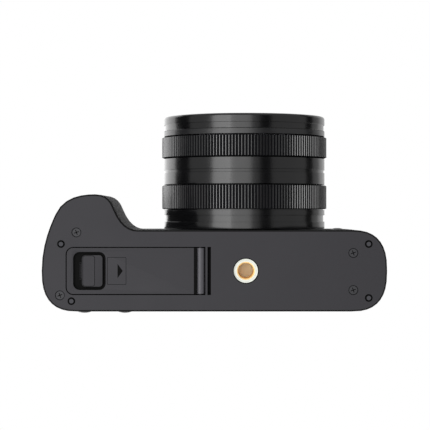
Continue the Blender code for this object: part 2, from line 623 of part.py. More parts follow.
def make_battery_door():
    """The door, its hinge barrel, the pin through it, and the latch that slides in it."""
    side = [Vector((DOOR_LEFT, FOOT_PROUD)), Vector((HINGE_X - HINGE_GROOVE, FOOT_PROUD)),
            Vector((HINGE_X - HINGE_GROOVE + GAP, FOOT_PROUD + HINGE_R / 2))]
    last = 180 - math.degrees(math.asin((DOOR_TOP - HINGE_Z) / HINGE_R))
    for k in range(BARREL_STEPS + 1):
        angle = math.radians(BARREL_START + (last - BARREL_START) * k / BARREL_STEPS)
        side.append(Vector((HINGE_X + HINGE_R * math.cos(angle), HINGE_Z + HINGE_R * math.sin(angle))))
    side.append(Vector((DOOR_LEFT, DOOR_TOP)))
    turned_side = [Vector((p.x - HINGE_X, -(p.y - HINGE_Z))) for p in side][::-1]
    door = stack("battery_door", turned_side, [(DOOR_FRONT + DOOR_GAP, 0), (DOOR_BACK - DOOR_GAP, 0)],
                 "plate_grey", (HINGE_X, 0, HINGE_Z), BACKWARD)
    corners = stack("cut_door_corners", door_outline(DOOR_GAP), [(-FAR, 0), (FAR, 0)], None)
    combine(door, corners, operation='INTERSECT')
    pin_hole = rod("cut_door_pin_hole", PIN_R + GAP, DOOR_FRONT - FAR, DOOR_BACK + FAR, None,
                   (HINGE_X, 0, HINGE_Z), BACKWARD)
    pad_left = DOOR_LEFT + LATCH_FROM_DOOR + LATCH_TRAVEL + GAP
    pad_right = pad_left + LATCH_LENGTH
    pad_front, pad_back = DOOR_MIDDLE - LATCH_WIDTH / 2, DOOR_MIDDLE + LATCH_WIDTH / 2
    recess = block("cut_latch_recess", pad_left - LATCH_TRAVEL - GAP, pad_right + LATCH_MARGIN,
                   pad_front - LATCH_MARGIN, pad_back + LATCH_MARGIN, -FAR, FOOT_PROUD + LATCH_RECESS,
                   None, LATCH_CORNER_R + LATCH_MARGIN)
    neck_left = (pad_left + pad_right) / 2 - NECK_LENGTH / 2
    neck_right = neck_left + NECK_LENGTH
    neck_front, neck_back = DOOR_MIDDLE - TONGUE_WIDTH / 2, DOOR_MIDDLE + TONGUE_WIDTH / 2
    slot = block("cut_neck_slot", neck_left - LATCH_TRAVEL - GAP, neck_right + GAP, neck_front - GAP,
                 neck_back + GAP, -FAR, FAR, None)
    combine(door, pin_hole, recess, slot)
    rod("hinge_pin", PIN_R, DOOR_FRONT - PIN_BITE, DOOR_BACK + PIN_BITE, "steel",
        (HINGE_X, 0, HINGE_Z), BACKWARD, 16)
    pad_top = FOOT_PROUD + LATCH_RECESS - GAP
    latch = block("battery_latch", pad_left, pad_right, pad_front, pad_back, pad_top - LATCH_THICKNESS,
                  pad_top, "cover_black", LATCH_CORNER_R, LATCH_EDGE)
    tongue_bottom = DOOR_TOP + GAP
    tongue_top = PLATE_TOP - TONGUE_CLEARANCE
    neck = block("join_latch_neck", neck_left, neck_right, neck_front, neck_back,
                 pad_top - LATCH_THICKNESS / 2, tongue_top, None)
    tongue = block("join_latch_tongue", DOOR_LEFT + DOOR_GAP, neck_left + NECK_LENGTH / 2, neck_front,
                   neck_back, tongue_bottom, tongue_top, None)
    combine(latch, neck, tongue, operation='UNION')


# ---- lens ----
def on_lens(name, profile, colour, steps=40):
    """A turned lens part: (radius, distance forward of the body's front plane)."""
    return turned(name, profile, colour, (LENS_X, FRONT, LENS_HEIGHT), FORWARD, steps)


def grip_ring(name, back, front, colour):
    """A turning ring of the lens, whose bore clears the tube."""
    bore_r = TUBE_R + GAP
    on_lens(name, [(bore_r, back), (KNURL_R - RING_EDGE, back), (KNURL_R, back + RING_EDGE),
                   (KNURL_R, front - RING_EDGE), (KNURL_R - RING_EDGE, front), (bore_r, front)], colour)


def make_lens():
    bore_r = TUBE_R + GAP
    tube_bore = TUBE_R - TUBE_WALL
    tube_end = FOCUS_RING_FRONT - GAP
    on_lens("lens_flange", [(bore_r, GAP), (BARREL_R, GAP), (BARREL_R, FLANGE_FRONT),
                            (bore_r, FLANGE_FRONT)], "barrel_black")
    on_lens("lens_tube", [
        (tube_bore, tube_end), (tube_bore, TUBE_FLOOR), (THROAT_R - TUBE_WALL, TUBE_FLOOR),
        (THROAT_R - TUBE_WALL, -THROAT_DEPTH), (THROAT_R, -THROAT_DEPTH), (THROAT_R, GAP), (TUBE_R, GAP),
        (TUBE_R, FLANGE_FRONT + GAP),
        (NECK_R, FLANGE_FRONT + GAP), (NECK_R, NECK_FRONT), (BARREL_R, NECK_FRONT), (BARREL_R, STEP_FRONT),
        (TUBE_R, STEP_FRONT), (TUBE_R, tube_end)], "barrel_black")
    grip_ring("aperture_ring", STEP_FRONT + GAP, APERTURE_RING_FRONT - GAP, "barrel_black")
    groove_front = MIDDLE_GROOVE + MIDDLE_GROOVE_WIDTH
    on_lens("middle_barrel", [
        (bore_r, APERTURE_RING_FRONT), (BARREL_R, APERTURE_RING_FRONT), (BARREL_R, MIDDLE_GROOVE),
        (GROOVE_R, MIDDLE_GROOVE), (GROOVE_R, groove_front), (BARREL_R, groove_front),
        (BARREL_R, MIDDLE_FRONT), (bore_r, MIDDLE_FRONT)], "barrel_black")
    grip_ring("focus_ring", MIDDLE_FRONT + GAP, FOCUS_RING_FRONT - GAP, "barrel_black")
    filter_groove_front = FILTER_GROOVE + GROOVE_WIDTH
    filter_floor = LENS_LENGTH - FILTER_DEPTH
    seat_r = FRONT_GLASS_R + GAP
    rim = [(BARREL_R - r, h) for h, r in round_edge(LENS_LENGTH - RIM_ROUND, RIM_ROUND, 3)]
    on_lens("filter_ring", [
        (seat_r, FOCUS_RING_FRONT), (BARREL_R, FOCUS_RING_FRONT), (BARREL_R, FILTER_GROOVE),
        (GROOVE_R, FILTER_GROOVE), (GROOVE_R, filter_groove_front), (BARREL_R, filter_groove_front), *rim,
        (FILTER_R + FILTER_EDGE, LENS_LENGTH), (FILTER_R, LENS_LENGTH - FILTER_EDGE),
        (FILTER_R, filter_floor), (FILTER_R - BEZEL_LEDGE, filter_floor),
        (seat_r, filter_floor - BEZEL_DEPTH)], "barrel_black")
    glass_back, glass_edge = FOCUS_RING_FRONT - FRONT_GLASS_THICKNESS, FOCUS_RING_FRONT
    on_lens("front_glass", [(0, glass_back), (FRONT_GLASS_R, glass_back), (FRONT_GLASS_R, glass_edge)]
            + dome(FRONT_GLASS_R, glass_edge, FRONT_GLASS_RISE, 4), "glass", 32)
    rear_edge = -GLASS_SETBACK
    rear_back = rear_edge - INNER_GLASS_THICKNESS
    on_lens("rear_glass", [(0, rear_back), (REAR_GLASS_R, rear_back), (REAR_GLASS_R, rear_edge)]
            + dome(REAR_GLASS_R, rear_edge, INNER_GLASS_RISE, 2), "glass", 24)
    cell_front = FOCUS_CELL_BACK + FOCUS_CELL_LENGTH
    cell_r = tube_bore - GAP
    cell_bore = FOCUS_GLASS_R + GAP
    on_lens("focus_cell", [(cell_bore, FOCUS_CELL_BACK), (cell_r, FOCUS_CELL_BACK), (cell_r, cell_front),
                           (cell_bore, cell_front)], "barrel_black", 32)
    focus_back, focus_edge = FOCUS_CELL_BACK + GLASS_SETBACK, cell_front - INNER_GLASS_THICKNESS
    on_lens("focus_glass", [(0, focus_back), (FOCUS_GLASS_R, focus_back), (FOCUS_GLASS_R, focus_edge)]
            + dome(FOCUS_GLASS_R, focus_edge, INNER_GLASS_RISE, 2), "glass", 24)
    make_iris()


def dome(radius, height, rise, steps=5):
    """Profile points of a shallow ball face from the rim's height to its top on the axis."""
    ball_r = (radius ** 2 + rise ** 2) / (2 * rise)
    half = math.asin(radius / ball_r)
    points = []
    for k in range(1, steps + 1):
        angle = half * (1 - k / steps)
        points.append((ball_r * math.sin(angle), height + rise - ball_r * (1 - math.cos(angle))))
    return points


def make_iris():
    """Thin curved blades, one behind another, each turning about a pivot at its root."""
    outer_r = TUBE_R - TUBE_WALL - BLADE_CLEARANCE
    inner_r = outer_r - BLADE_WIDTH
    middle_r = (inner_r + outer_r) / 2
    for i in range(BLADES):
        start = math.tau * i / BLADES
        pivot = Vector((middle_r * math.cos(start), middle_r * math.sin(start)))
        outline = []
        steps = 9
        for radius, order in ((outer_r, range(steps + 1)), (inner_r, range(steps, -1, -1))):
            for k in order:
                angle = start + math.radians(BLADE_SPAN) * k / steps
                outline.append(Vector((radius * math.cos(angle), radius * math.sin(angle))) - pivot)
        place = (LENS_X + pivot.x, FRONT - BLADE_BACK - i * BLADE_PITCH, LENS_HEIGHT + pivot.y)
        stack(f"iris_blade_{i + 1}", outline, [(0, 0), (BLADE_THICKNESS, 0)], "steel", place, FORWARD)


# ---- rear fittings ----
def make_rear_fittings():
    floor = REAR - BUTTON_DEPTH
    shoulder = BUTTON_DEPTH + BUTTON_SHOULDER
    for name, (x, z) in zip(REAR_BUTTON_NAMES, REAR_BUTTON_PLACES):
        turned(name, [(0, 0), (BUTTON_R, 0), (BUTTON_R, shoulder)]
               + dome(BUTTON_R, shoulder, BUTTON_PROUD - BUTTON_SHOULDER, 3), "plastic_black",
               (x, floor, z), BACKWARD, 18)
    wheel_top = BUTTON_DEPTH + WHEEL_PROUD
    wheel_side = wheel_top - WHEEL_EDGE
    turned("control_wheel", [
        (WHEEL_BORE_R, 0), (WHEEL_R, 0), (WHEEL_R, wheel_side), (WHEEL_R - WHEEL_EDGE, wheel_top),
        (WHEEL_BORE_R + WHEEL_EDGE, wheel_top), (WHEEL_BORE_R, wheel_side)], "plastic_black",
        (WHEEL_X, floor, WHEEL_HEIGHT), BACKWARD, 32)
    set_side = BUTTON_DEPTH + SET_BUTTON_RISE
    turned("set_button", [(0, 0), (SET_BUTTON_R, 0), (SET_BUTTON_R, set_side)]
           + dome(SET_BUTTON_R, set_side, SET_BUTTON_RISE, 3), "plastic_black",
           (WHEEL_X, floor, WHEEL_HEIGHT), BACKWARD, 20)
    glass_front = REAR - GLASS_THICKNESS
    left, right = LENS_X - SCREEN_WIDTH / 2, LENS_X + SCREEN_WIDTH / 2
    top = SCREEN_BOTTOM + SCREEN_HEIGHT
    panel("screen_glass", left, right, SCREEN_BOTTOM, top, glass_front, REAR - GLASS_SUNK, "screen_black",
          SCREEN_CORNER_R)
    panel("screen_panel", left + PANEL_MARGIN, right - PANEL_MARGIN, SCREEN_BOTTOM + PANEL_MARGIN,
          top - PANEL_MARGIN, glass_front - GAP - PANEL_THICKNESS, glass_front - GAP, "cell_grey")
    board_back = REAR - max(WALL, BUTTON_DEPTH) - 2 * GAP
    board_left = BUTTON_X[0] - BUTTON_R
    panel("button_board", board_left, left - 3 * GAP, LOWER_BUTTON_HEIGHT - BUTTON_R,
          UPPER_BUTTON_HEIGHT + BUTTON_R, board_back - BOARD, board_back, "board_green")


# ---- top fittings ----
def make_top_fittings():
    x, y = STEM_PLACES["shutter"]
    rim = SHUTTER_TOP - SHUTTER_RISE
    cap = LEVER_HEIGHT - SHUTTER_TRAVEL
    turned("shutter_button", [(0, -STEM_LENGTH), (STEM_R, -STEM_LENGTH), (STEM_R, cap), (SHUTTER_R, cap),
                              (SHUTTER_R, rim)] + dome(SHUTTER_R, rim, SHUTTER_TOP - rim, 3), "steel",
           (x, y, DECK_HEIGHT), UP, 20)
    bore_r = SHUTTER_R + GAP
    lever = turned("power_lever", [(bore_r, GAP), (LEVER_R, GAP), (LEVER_R, LEVER_HEIGHT - RING_EDGE),
                                   (LEVER_R - RING_EDGE, LEVER_HEIGHT), (bore_r, LEVER_HEIGHT)],
                   "plate_grey", (x, y, DECK_HEIGHT), UP, 32)
    tab = block("join_lever_tab", x - LEVER_TAB, x + LEVER_TAB, y - LEVER_R - LEVER_TAB,
                y - LEVER_R + TAB_BITE, DECK_HEIGHT + 2 * GAP, DECK_HEIGHT + LEVER_HEIGHT - RING_EDGE,
                None, TAB_CORNER_R)
    combine(lever, tab, operation='UNION')
    for name, radius in (("speed_dial", SPEED_DIAL_R), ("exposure_dial", EXPOSURE_DIAL_R)):
        x, y = STEM_PLACES[name]
        turned(name, [(0, -STEM_LENGTH), (STEM_R, -STEM_LENGTH), (STEM_R, GAP), (radius, GAP),
                      (radius, DIAL_HEIGHT - RING_EDGE), (radius - RING_EDGE, DIAL_HEIGHT),
                      (0, DIAL_HEIGHT)], "plate_grey", (x, y, DECK_HEIGHT), UP, 30)
    half, mouth, slot = SHOE_WIDTH / 2, SHOE_MOUTH / 2, SHOE_SLOT_WIDTH / 2
    low = DECK_HEIGHT - SHOE_BASE
    lip = DECK_HEIGHT + SHOE_SLOT_HEIGHT
    top = lip + SHOE_LIP
    side = [(-half, low), (half, low), (half, top), (mouth, top), (mouth, lip), (slot, lip),
            (slot, DECK_HEIGHT), (-slot, DECK_HEIGHT), (-slot, lip), (-mouth, lip), (-mouth, top),
            (-half, top)]
    outline = [Vector((px, -pz)) for px, pz in side][::-1]
    stack("hot_shoe", outline, [(MIDDLE - SHOE_LENGTH / 2, 0), (MIDDLE + SHOE_LENGTH / 2, 0)], "steel",
          (LENS_X, 0, 0), BACKWARD)
    pane_front = FRONT + GAP
    panel("viewfinder_window", *window_sides(WINDOW_WIDTH, WINDOW_HEIGHT, 0), pane_front,
          pane_front + WINDOW_THICKNESS, "glass", WINDOW_CORNER_R)
    frame = panel("eyepiece_frame", *window_sides(EYEPIECE_WIDTH, WINDOW_HEIGHT, 0), REAR - WALL,
                  REAR + EYEPIECE_PROUD, "rubber_black", WINDOW_CORNER_R, EYEPIECE_EDGE)
    hole = panel("cut_eyepiece_hole", *window_sides(EYEPIECE_WIDTH, WINDOW_HEIGHT, -EYEPIECE_RIM),
                 REAR - FAR / 2, REAR + FAR / 2, None)
    combine(frame, hole)
    panel("eyepiece_glass", *window_sides(EYEPIECE_WIDTH, WINDOW_HEIGHT, -EYEPIECE_RIM - GAP),
          REAR - WALL, REAR - WALL + WINDOW_THICKNESS, "glass")


# ---- front lamp and side cover ----
def make_lamp_and_flap():
    turned("focus_lamp", [(0, -LAMP_DEPTH), (LAMP_R, -LAMP_DEPTH), (LAMP_R, 0)]
           + dome(LAMP_R, 0, LAMP_PROUD, 2), "glass", (RIGHT - LAMP_FROM_END, FRONT, LAMP_HEIGHT),
           FORWARD, 18)
    outline = body_outline(True)
    flap = stack("side_cover", [p - FLAP_HINGE for p in outline],
                 [(FLAP_BOTTOM - GAP, 0), (FLAP_BOTTOM + FLAP_HEIGHT + GAP, 0)], "skin_black",
                 (*FLAP_HINGE, 0))
    inner = stack("cut_flap_inner", outline, [(-FAR, SKIN), (FAR, SKIN)], None)
    combine(flap, flap_box("cut_flap_edges", 0), operation='INTERSECT')
    combine(flap, inner)


# ---- inside ----
def make_inside():
    inset = SKIN + 2 * GAP + WALL
    frame = stack("base_frame", body_outline(False),
                  [(WALLS_BOTTOM, inset), (WALLS_BOTTOM + BOX_WALL, inset)], "steel")
    bay = block("cut_base_bay", LEFT, DOOR_RIGHT + 2 * BOX_WALL, DOOR_FRONT - BOX_WALL,
                DOOR_BACK + BOX_WALL, -FAR, FAR, None)
    combine(frame, bay, bore("cut_base_bush", SOCKET_FLANGE_R + GAP, (LENS_X, MIDDLE, 0)))
    for i, (x, y) in enumerate(SCREW_PLACES, 1):
        combine(frame, bore(f"cut_base_screw_{i}", SCREW_SHANK_R + GAP, (x, y, 0), steps=16))
    bottom = PLATE_TOP + GAP
    left, right = DOOR_LEFT + BOX_WALL, DOOR_RIGHT - 2 * HINGE_R - BOX_WALL
    front, back = DOOR_FRONT + GAP, DOOR_BACK - GAP
    top = bottom + BOX_HEIGHT
    box = block("battery_box", left, right, front, back, bottom, top, "plastic_black")
    card_front = front + BOX_WALL
    card_back = card_front + CARD_THICKNESS + 2 * GAP
    cell_front = card_back + BOX_WALL
    cell_bay = block("cut_cell_bay", left + BOX_WALL, right - BOX_WALL, cell_front, back - BOX_WALL, -FAR,
                     top - BOX_WALL, None)
    card_left = (left + right) / 2 - CARD_WIDTH / 2
    card_bay = block("cut_card_bay", card_left - GAP, card_left + CARD_WIDTH + GAP, card_front, card_back,
                     -FAR, bottom + CARD_LENGTH + GAP, None)
    combine(box, cell_bay, card_bay)
    block("battery", left + BOX_WALL + GAP, right - BOX_WALL - GAP, cell_front + GAP, back - BOX_WALL - GAP,
          bottom, top - BOX_WALL - GAP, "cell_grey", BATTERY_CORNER_R, BATTERY_EDGE)
    block("memory_card", card_left, card_left + CARD_WIDTH, card_front + GAP, card_back - GAP, bottom,
          bottom + CARD_LENGTH, "plastic_black")
    board_front = SPLIT + GAP
    panel("main_board", right + 2 * GAP, RIGHT - END_DEPTH, SOCKET_LENGTH + WALL + BUSH_CLEARANCE,
          WALLS_TOP - WALL, board_front, board_front + BOARD, "board_green")
    sensor_back = FRONT + SENSOR_DEPTH
    panel("sensor_board", LENS_X - SENSOR_BOARD_WIDTH / 2, LENS_X + SENSOR_BOARD_WIDTH / 2,
          LENS_HEIGHT - SENSOR_BOARD_HEIGHT / 2, LENS_HEIGHT + SENSOR_BOARD_HEIGHT / 2,
          sensor_back, sensor_back + BOARD, "board_green")
    panel("image_sensor", LENS_X - SENSOR_WIDTH / 2, LENS_X + SENSOR_WIDTH / 2,
          LENS_HEIGHT - SENSOR_HEIGHT / 2, LENS_HEIGHT + SENSOR_HEIGHT / 2,
          sensor_back - GAP - SENSOR_THICKNESS, sensor_back - GAP, "screen_black")


for old in list(bpy.data.objects):
    bpy.data.objects.remove(old)
CAMERA = bpy.data.objects.new("camera_origin", None)
bpy.context.scene.collection.objects.link(CAMERA)

THROAT_HOLE = bore("cut_throat", THROAT_R + GAP, (LENS_X, MIDDLE, LENS_HEIGHT), FORWARD, FAR, 40)
LAMP_HOLE = bore("cut_lamp_hole", LAMP_R + GAP, (RIGHT - LAMP_FROM_END, MIDDLE, LAMP_HEIGHT), FORWARD,
                 FAR, 18)
PORT_BACK = SPLIT - PORT_FROM_SEAM
for number, share in enumerate(PORT_SHARES, 1):
    middle = FLAP_BOTTOM + FLAP_HEIGHT * share
    block(f"cut_port_{number}", RIGHT - END_DEPTH, FAR, PORT_BACK - PORT_WIDTH, PORT_BACK,
          middle - PORT_HEIGHT / 2, middle + PORT_HEIGHT / 2, None)

make_bottom_plate()
make_front_cover()
make_rear_cover()
make_skins()
make_top_cover()
make_bush_screws_feet()
make_battery_door()
make_lens()
make_rear_fittings()
make_top_fittings()
make_lamp_and_flap()
make_inside()
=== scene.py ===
# %% [markdown]
# # A compact camera of rangefinder style, seen from below
#
# The mechanical model gives every piece its place and size. This script gives the pieces their looks:
# turned and knurled lens rings, rounded edges, pressed leather cloth, anodised and painted metal,
# coated glass. The whole is lit as a small studio would light it.
#
# We work in metres, in the mechanical model's own frame. The lens looks along -Y and the grip is at -X.

# %% Load the frame
import json
import math

import bmesh
import bpy
from mathutils import Matrix, Vector


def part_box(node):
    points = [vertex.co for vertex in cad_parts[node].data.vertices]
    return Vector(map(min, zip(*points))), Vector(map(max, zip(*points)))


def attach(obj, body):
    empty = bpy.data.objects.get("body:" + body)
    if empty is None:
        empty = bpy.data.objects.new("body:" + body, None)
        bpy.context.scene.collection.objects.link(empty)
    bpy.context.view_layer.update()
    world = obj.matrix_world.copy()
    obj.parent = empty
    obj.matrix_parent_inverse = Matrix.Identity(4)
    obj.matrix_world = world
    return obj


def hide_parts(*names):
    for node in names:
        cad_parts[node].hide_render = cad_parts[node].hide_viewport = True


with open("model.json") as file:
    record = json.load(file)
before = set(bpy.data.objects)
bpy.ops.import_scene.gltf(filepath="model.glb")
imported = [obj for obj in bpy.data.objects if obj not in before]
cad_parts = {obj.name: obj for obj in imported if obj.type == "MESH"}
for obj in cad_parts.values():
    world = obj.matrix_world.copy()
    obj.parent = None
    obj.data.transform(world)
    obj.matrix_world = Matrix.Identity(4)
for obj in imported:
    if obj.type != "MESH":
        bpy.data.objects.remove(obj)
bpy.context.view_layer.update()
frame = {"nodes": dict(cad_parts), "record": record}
MM = 0.001
nodes = frame["nodes"]
body_of = {node: body for body, members in frame["record"]["behaviour"]["bodies"].items() for node in members}

# %% [markdown]
# ## Places that everything else starts from
#
# The lens is turned about one axis, and every ring on it is a distance forward of the body's front
# plane. Both are read from the boxes of the mechanical nodes, so the looks follow the design.

# %% Lens axis, front plane and deck
low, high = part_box("filter_ring")
LENS = Vector(((low.x + high.x) / 2, 0, (low.z + high.z) / 2))
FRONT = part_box("top_cover")[0].y
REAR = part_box("top_cover")[1].y
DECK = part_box("top_cover")[1].z
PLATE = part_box("bottom_plate")[0].z
LENS.y = FRONT
FORWARD, BACKWARD = Vector((0, -1, 0)), Vector((0, 1, 0))
UP = Vector((0, 0, 1))
print("lens axis at", tuple(round(v / MM, 2) for v in LENS), "deck at", round(DECK / MM, 2))

# %% [markdown]
# ## The camera that looks at the camera
#
# The view is from straight below, with the lens pointing up in the picture. A long lens from a little
# over half a metre keeps the perspective gentle: the far rim of the grip still shows past the near one.

# %% View camera
VIEW_DISTANCE = 0.560
eye = bpy.data.cameras.new("view")
eye.lens = 136.0
eye.sensor_width = 36.0
eye.dof.use_dof = False
view = bpy.data.objects.new("view", eye)
view.location = (0.2 * MM, 0.55 * MM, PLATE - VIEW_DISTANCE)
view.rotation_euler = (math.pi, 0, 0)
bpy.context.scene.collection.objects.link(view)
bpy.context.scene.camera = view
bpy.context.scene.view_settings.view_transform = 'Standard'

# %% [markdown]
# ## Tools for finishes
#
# Artists pick colours as they look on a screen, and a renderer wants them as amounts of light. One
# function turns the first into the second. A second adds a node, its settings and its links. Pattern
# scales come from a real size: in a space of metres a grain of 0.3 mm needs a scale of 1 / 0.0003.


# %% Colour, node and scale
def light_of(hex_colour):
    """A screen colour such as #464549 as linear light, with alpha 1."""
    values = [int(hex_colour[i:i + 2], 16) / 255 for i in (1, 3, 5)]
    return (*[v / 12.92 if v <= 0.04045 else ((v + 0.055) / 1.055) ** 2.4 for v in values], 1.0)


def per(size_mm):
    """The texture scale whose grain has this size."""
    return 1 / (size_mm * MM)


def add(tree, kind, inputs=None, **settings):
    """Add one node with its settings; an input is a value, or another node's output to link."""
    node = tree.nodes.new("ShaderNode" + kind)
    for name, value in settings.items():
        setattr(node, name, value)
    for name, value in (inputs or {}).items():
        if isinstance(value, bpy.types.NodeSocket):
            tree.links.new(value, node.inputs[name])
        else:
            node.inputs[name].default_value = value
    return node


def new_finish(name, **sockets):
    """A material with a Principled shader whose even values are set on its own sockets."""
    material = bpy.data.materials.new(name)
    material.use_nodes = True
    shader = material.node_tree.nodes["Principled BSDF"]
    for socket, value in sockets.items():
        shader.inputs[socket.replace("_", " ")].default_value = value
    return material, material.node_tree, shader


# %% [markdown]
# ## Painted magnesium
#
# The plate, the top and the door are cast magnesium under a fine matt paint. Sprayed paint dries with a
# faint orange-peel: low, soft bumps a few tenths of a millimetre across. The eye reads it as a satin
# that never mirrors. The real peel is too fine to show at this size, so it is drawn a little coarser.


# %% Painted metal
def painted_metal(name, colour, fleck, roughness, edge=None):
    """Sprayed paint on cast metal: flecks of tone and orange-peel bump; an edge colour, where given, is painted
    shade on steep faces.
    """
    material, tree, shader = new_finish(name, Metallic=0.0, Specular_IOR_Level=0.3)
    place = add(tree, "TexCoord")
    peel = add(tree, "TexNoise", {"Vector": place.outputs["Object"], "Scale": per(0.45), "Detail": 4.0})
    cloud = add(tree, "TexNoise", {"Vector": place.outputs["Object"], "Scale": per(14.0), "Detail": 2.0})
    tone = add(tree, "MixRGB", {"Fac": peel.outputs["Fac"], "Color1": light_of(colour),
                                "Color2": light_of(fleck)})
    colour_out = tone.outputs["Color"]
    # Painted shade: the colour blends into the edge colour as a face turns from flat, fully on faces steeper
    # than about 41 degrees, such as bevels and walls.
    if edge is not None:
        facing = add(tree, "NewGeometry")
        parts = add(tree, "SeparateXYZ", {"Vector": facing.outputs["True Normal"]})
        flat = add(tree, "Math", {0: parts.outputs["Z"]}, operation='ABSOLUTE')
        steep_face_shade_mask = add(tree, "MapRange", {"Value": flat.outputs[0], "From Min": 0.75, "From Max": 0.97})
        steep_face_painted_shade = add(tree, "MixRGB", {"Fac": steep_face_shade_mask.outputs["Result"], "Color1": light_of(edge),
                                      "Color2": colour_out})
        colour_out = steep_face_painted_shade.outputs["Color"]
    tree.links.new(colour_out, shader.inputs["Base Color"])
    dull = add(tree, "MapRange", {"Value": cloud.outputs["Fac"], "To Min": roughness - 0.05,
                                  "To Max": roughness + 0.07})
    tree.links.new(dull.outputs["Result"], shader.inputs["Roughness"])
    bump = add(tree, "Bump", {"Height": peel.outputs["Fac"], "Strength": 0.25, "Distance": 0.02 * MM})
    tree.links.new(bump.outputs["Normal"], shader.inputs["Normal"])
    return material


# The grey paint's near-black edge colour is painted shade on the bevels and walls of every piece that wears it.
PLATE_PAINT = painted_metal("painted_magnesium_grey", "#313034", "#2e2d31", 0.55, edge="#050506")
# A lighter copy of the paint for the hinge barrel: its lighter tone is a painted highlight.
HINGE_HIGHLIGHT_PAINT = painted_metal("painted_magnesium_painted_highlight", "#58575b", "#504f54", 0.3)
COVER_PAINT = painted_metal("painted_magnesium_black", "#242427", "#202022", 0.45)

# %% [markdown]
# ## Pressed leather cloth
#
# The grip and the front wear a thin vinyl-faced cloth. It is pressed hot between rollers, so its skin
# is a net of soft pebbles just under a millimetre across, with creases between them. Distance to the
# nearest cell gives the pebbles, and a little noise keeps the net from looking printed.


# %% Leather cloth
def leather_cloth(name, colour, crease):
    """Pebbled vinyl cloth: cells raised, creases painted dark as shade, worn pebbles a little smoother."""
    material, tree, shader = new_finish(name, Metallic=0.0, IOR=1.46)
    place = add(tree, "TexCoord")
    wobble = add(tree, "TexNoise", {"Vector": place.outputs["Object"], "Scale": per(1.8), "Detail": 3.0})
    shift = add(tree, "VectorMath", {0: wobble.outputs["Color"], 1: (0.5 * MM,) * 3}, operation='MULTIPLY')
    bent = add(tree, "VectorMath", {0: place.outputs["Object"], 1: shift.outputs[0]}, operation='ADD')
    cells = add(tree, "TexVoronoi", {"Vector": bent.outputs[0], "Scale": per(0.85)},
                feature='DISTANCE_TO_EDGE')
    pebble = add(tree, "MapRange", {"Value": cells.outputs["Distance"], "From Max": 0.3},
                 interpolation_type='SMOOTHSTEP')
    # Painted shade: the creases between pebbles take the darker crease colour.
    tone = add(tree, "MixRGB", {"Fac": pebble.outputs["Result"], "Color1": light_of(crease),
                                "Color2": light_of(colour)})
    tree.links.new(tone.outputs["Color"], shader.inputs["Base Color"])
    dull = add(tree, "MapRange", {"Value": pebble.outputs["Result"], "To Min": 0.75, "To Max": 0.5})
    tree.links.new(dull.outputs["Result"], shader.inputs["Roughness"])
    bump = add(tree, "Bump", {"Height": pebble.outputs["Result"], "Strength": 0.8, "Distance": 0.12 * MM})
    tree.links.new(bump.outputs["Normal"], shader.inputs["Normal"])
    return material


# This grey is lighter than the cloth's own near-black, as painted sheen; the crease colour is painted shade.
LEATHER = leather_cloth("pressed_vinyl_leather_cloth", "#5e5e60", "#262627")

# %% [markdown]
# ## Anodised aluminium
#
# The lens rings are turned from aluminium bar and anodised black. The oxide layer is glassy, so the
# rings show clear long reflections, and the lathe leaves fine rings round the axis that break them up
# by a hair. Bands that fingers or a hood touch are stippled instead, with a fine diamond knurl.


# %% Turned and stippled anodised metal
def anodised(name, colour, worn, roughness, stipple_mm=None, shaded_groove_mm=None):
    """Black anodised metal turned about the lens axis, with stipple where its size is given, and with groove
    floors stripped of shine as painted shade where their radii are given.
    """
    material, tree, shader = new_finish(name, IOR=1.6, Coat_Weight=0.2, Coat_Roughness=0.12)
    place = add(tree, "TexCoord")
    parts = add(tree, "SeparateXYZ", {"Vector": place.outputs["Object"]})
    along = add(tree, "CombineXYZ", {"Y": parts.outputs["Y"]})
    lathe = add(tree, "TexNoise", {"Vector": along.outputs[0], "Scale": per(0.5), "Detail": 5.0})
    height, strength = lathe.outputs["Fac"], 0.12
    if stipple_mm:
        dots = add(tree, "TexVoronoi", {"Vector": place.outputs["Object"], "Scale": per(stipple_mm),
                                        "Randomness": 0.2})
        height, strength = dots.outputs["Distance"], 0.6
    smudge = add(tree, "TexNoise", {"Vector": place.outputs["Object"], "Scale": per(9.0), "Detail": 3.0})
    tone = add(tree, "MixRGB", {"Fac": smudge.outputs["Fac"], "Color1": light_of(colour),
                                "Color2": light_of(worn)})
    tree.links.new(tone.outputs["Color"], shader.inputs["Base Color"])
    dull = add(tree, "MapRange", {"Value": smudge.outputs["Fac"], "To Min": roughness - 0.03,
                                  "To Max": roughness + 0.05})
    gloss = dull.outputs["Result"]
    # Painted shade: below these radii, on the knurl's groove floors, the metal loses its shine and coat, so the
    # grooves read dark.
    if shaded_groove_mm:
        from_axis = add(tree, "VectorMath", {0: place.outputs["Object"], 1: LENS}, operation='SUBTRACT')
        flat = add(tree, "VectorMath", {0: from_axis.outputs[0], 1: (1, 0, 1)}, operation='MULTIPLY')
        radius = add(tree, "VectorMath", {0: flat.outputs[0]}, operation='LENGTH')
        land = add(tree, "MapRange", {"Value": radius.outputs["Value"], "From Min": shaded_groove_mm[0] * MM,
                                      "From Max": shaded_groove_mm[1] * MM})
        gloss = add(tree, "MapRange", {"Value": land.outputs["Result"], "To Min": 0.9,
                                       "To Max": roughness}).outputs["Result"]
        tree.links.new(land.outputs["Result"], shader.inputs["Specular IOR Level"])
        coat = add(tree, "Math", {0: land.outputs["Result"], 1: 0.3}, operation='MULTIPLY')
        tree.links.new(coat.outputs[0], shader.inputs["Coat Weight"])
    tree.links.new(gloss, shader.inputs["Roughness"])
    bump = add(tree, "Bump", {"Height": height, "Strength": strength, "Distance": 0.03 * MM})
    tree.links.new(bump.outputs["Normal"], shader.inputs["Normal"])
    return material


ANODISED = anodised("anodised_aluminium_turned", "#040405", "#08080a", 0.2)
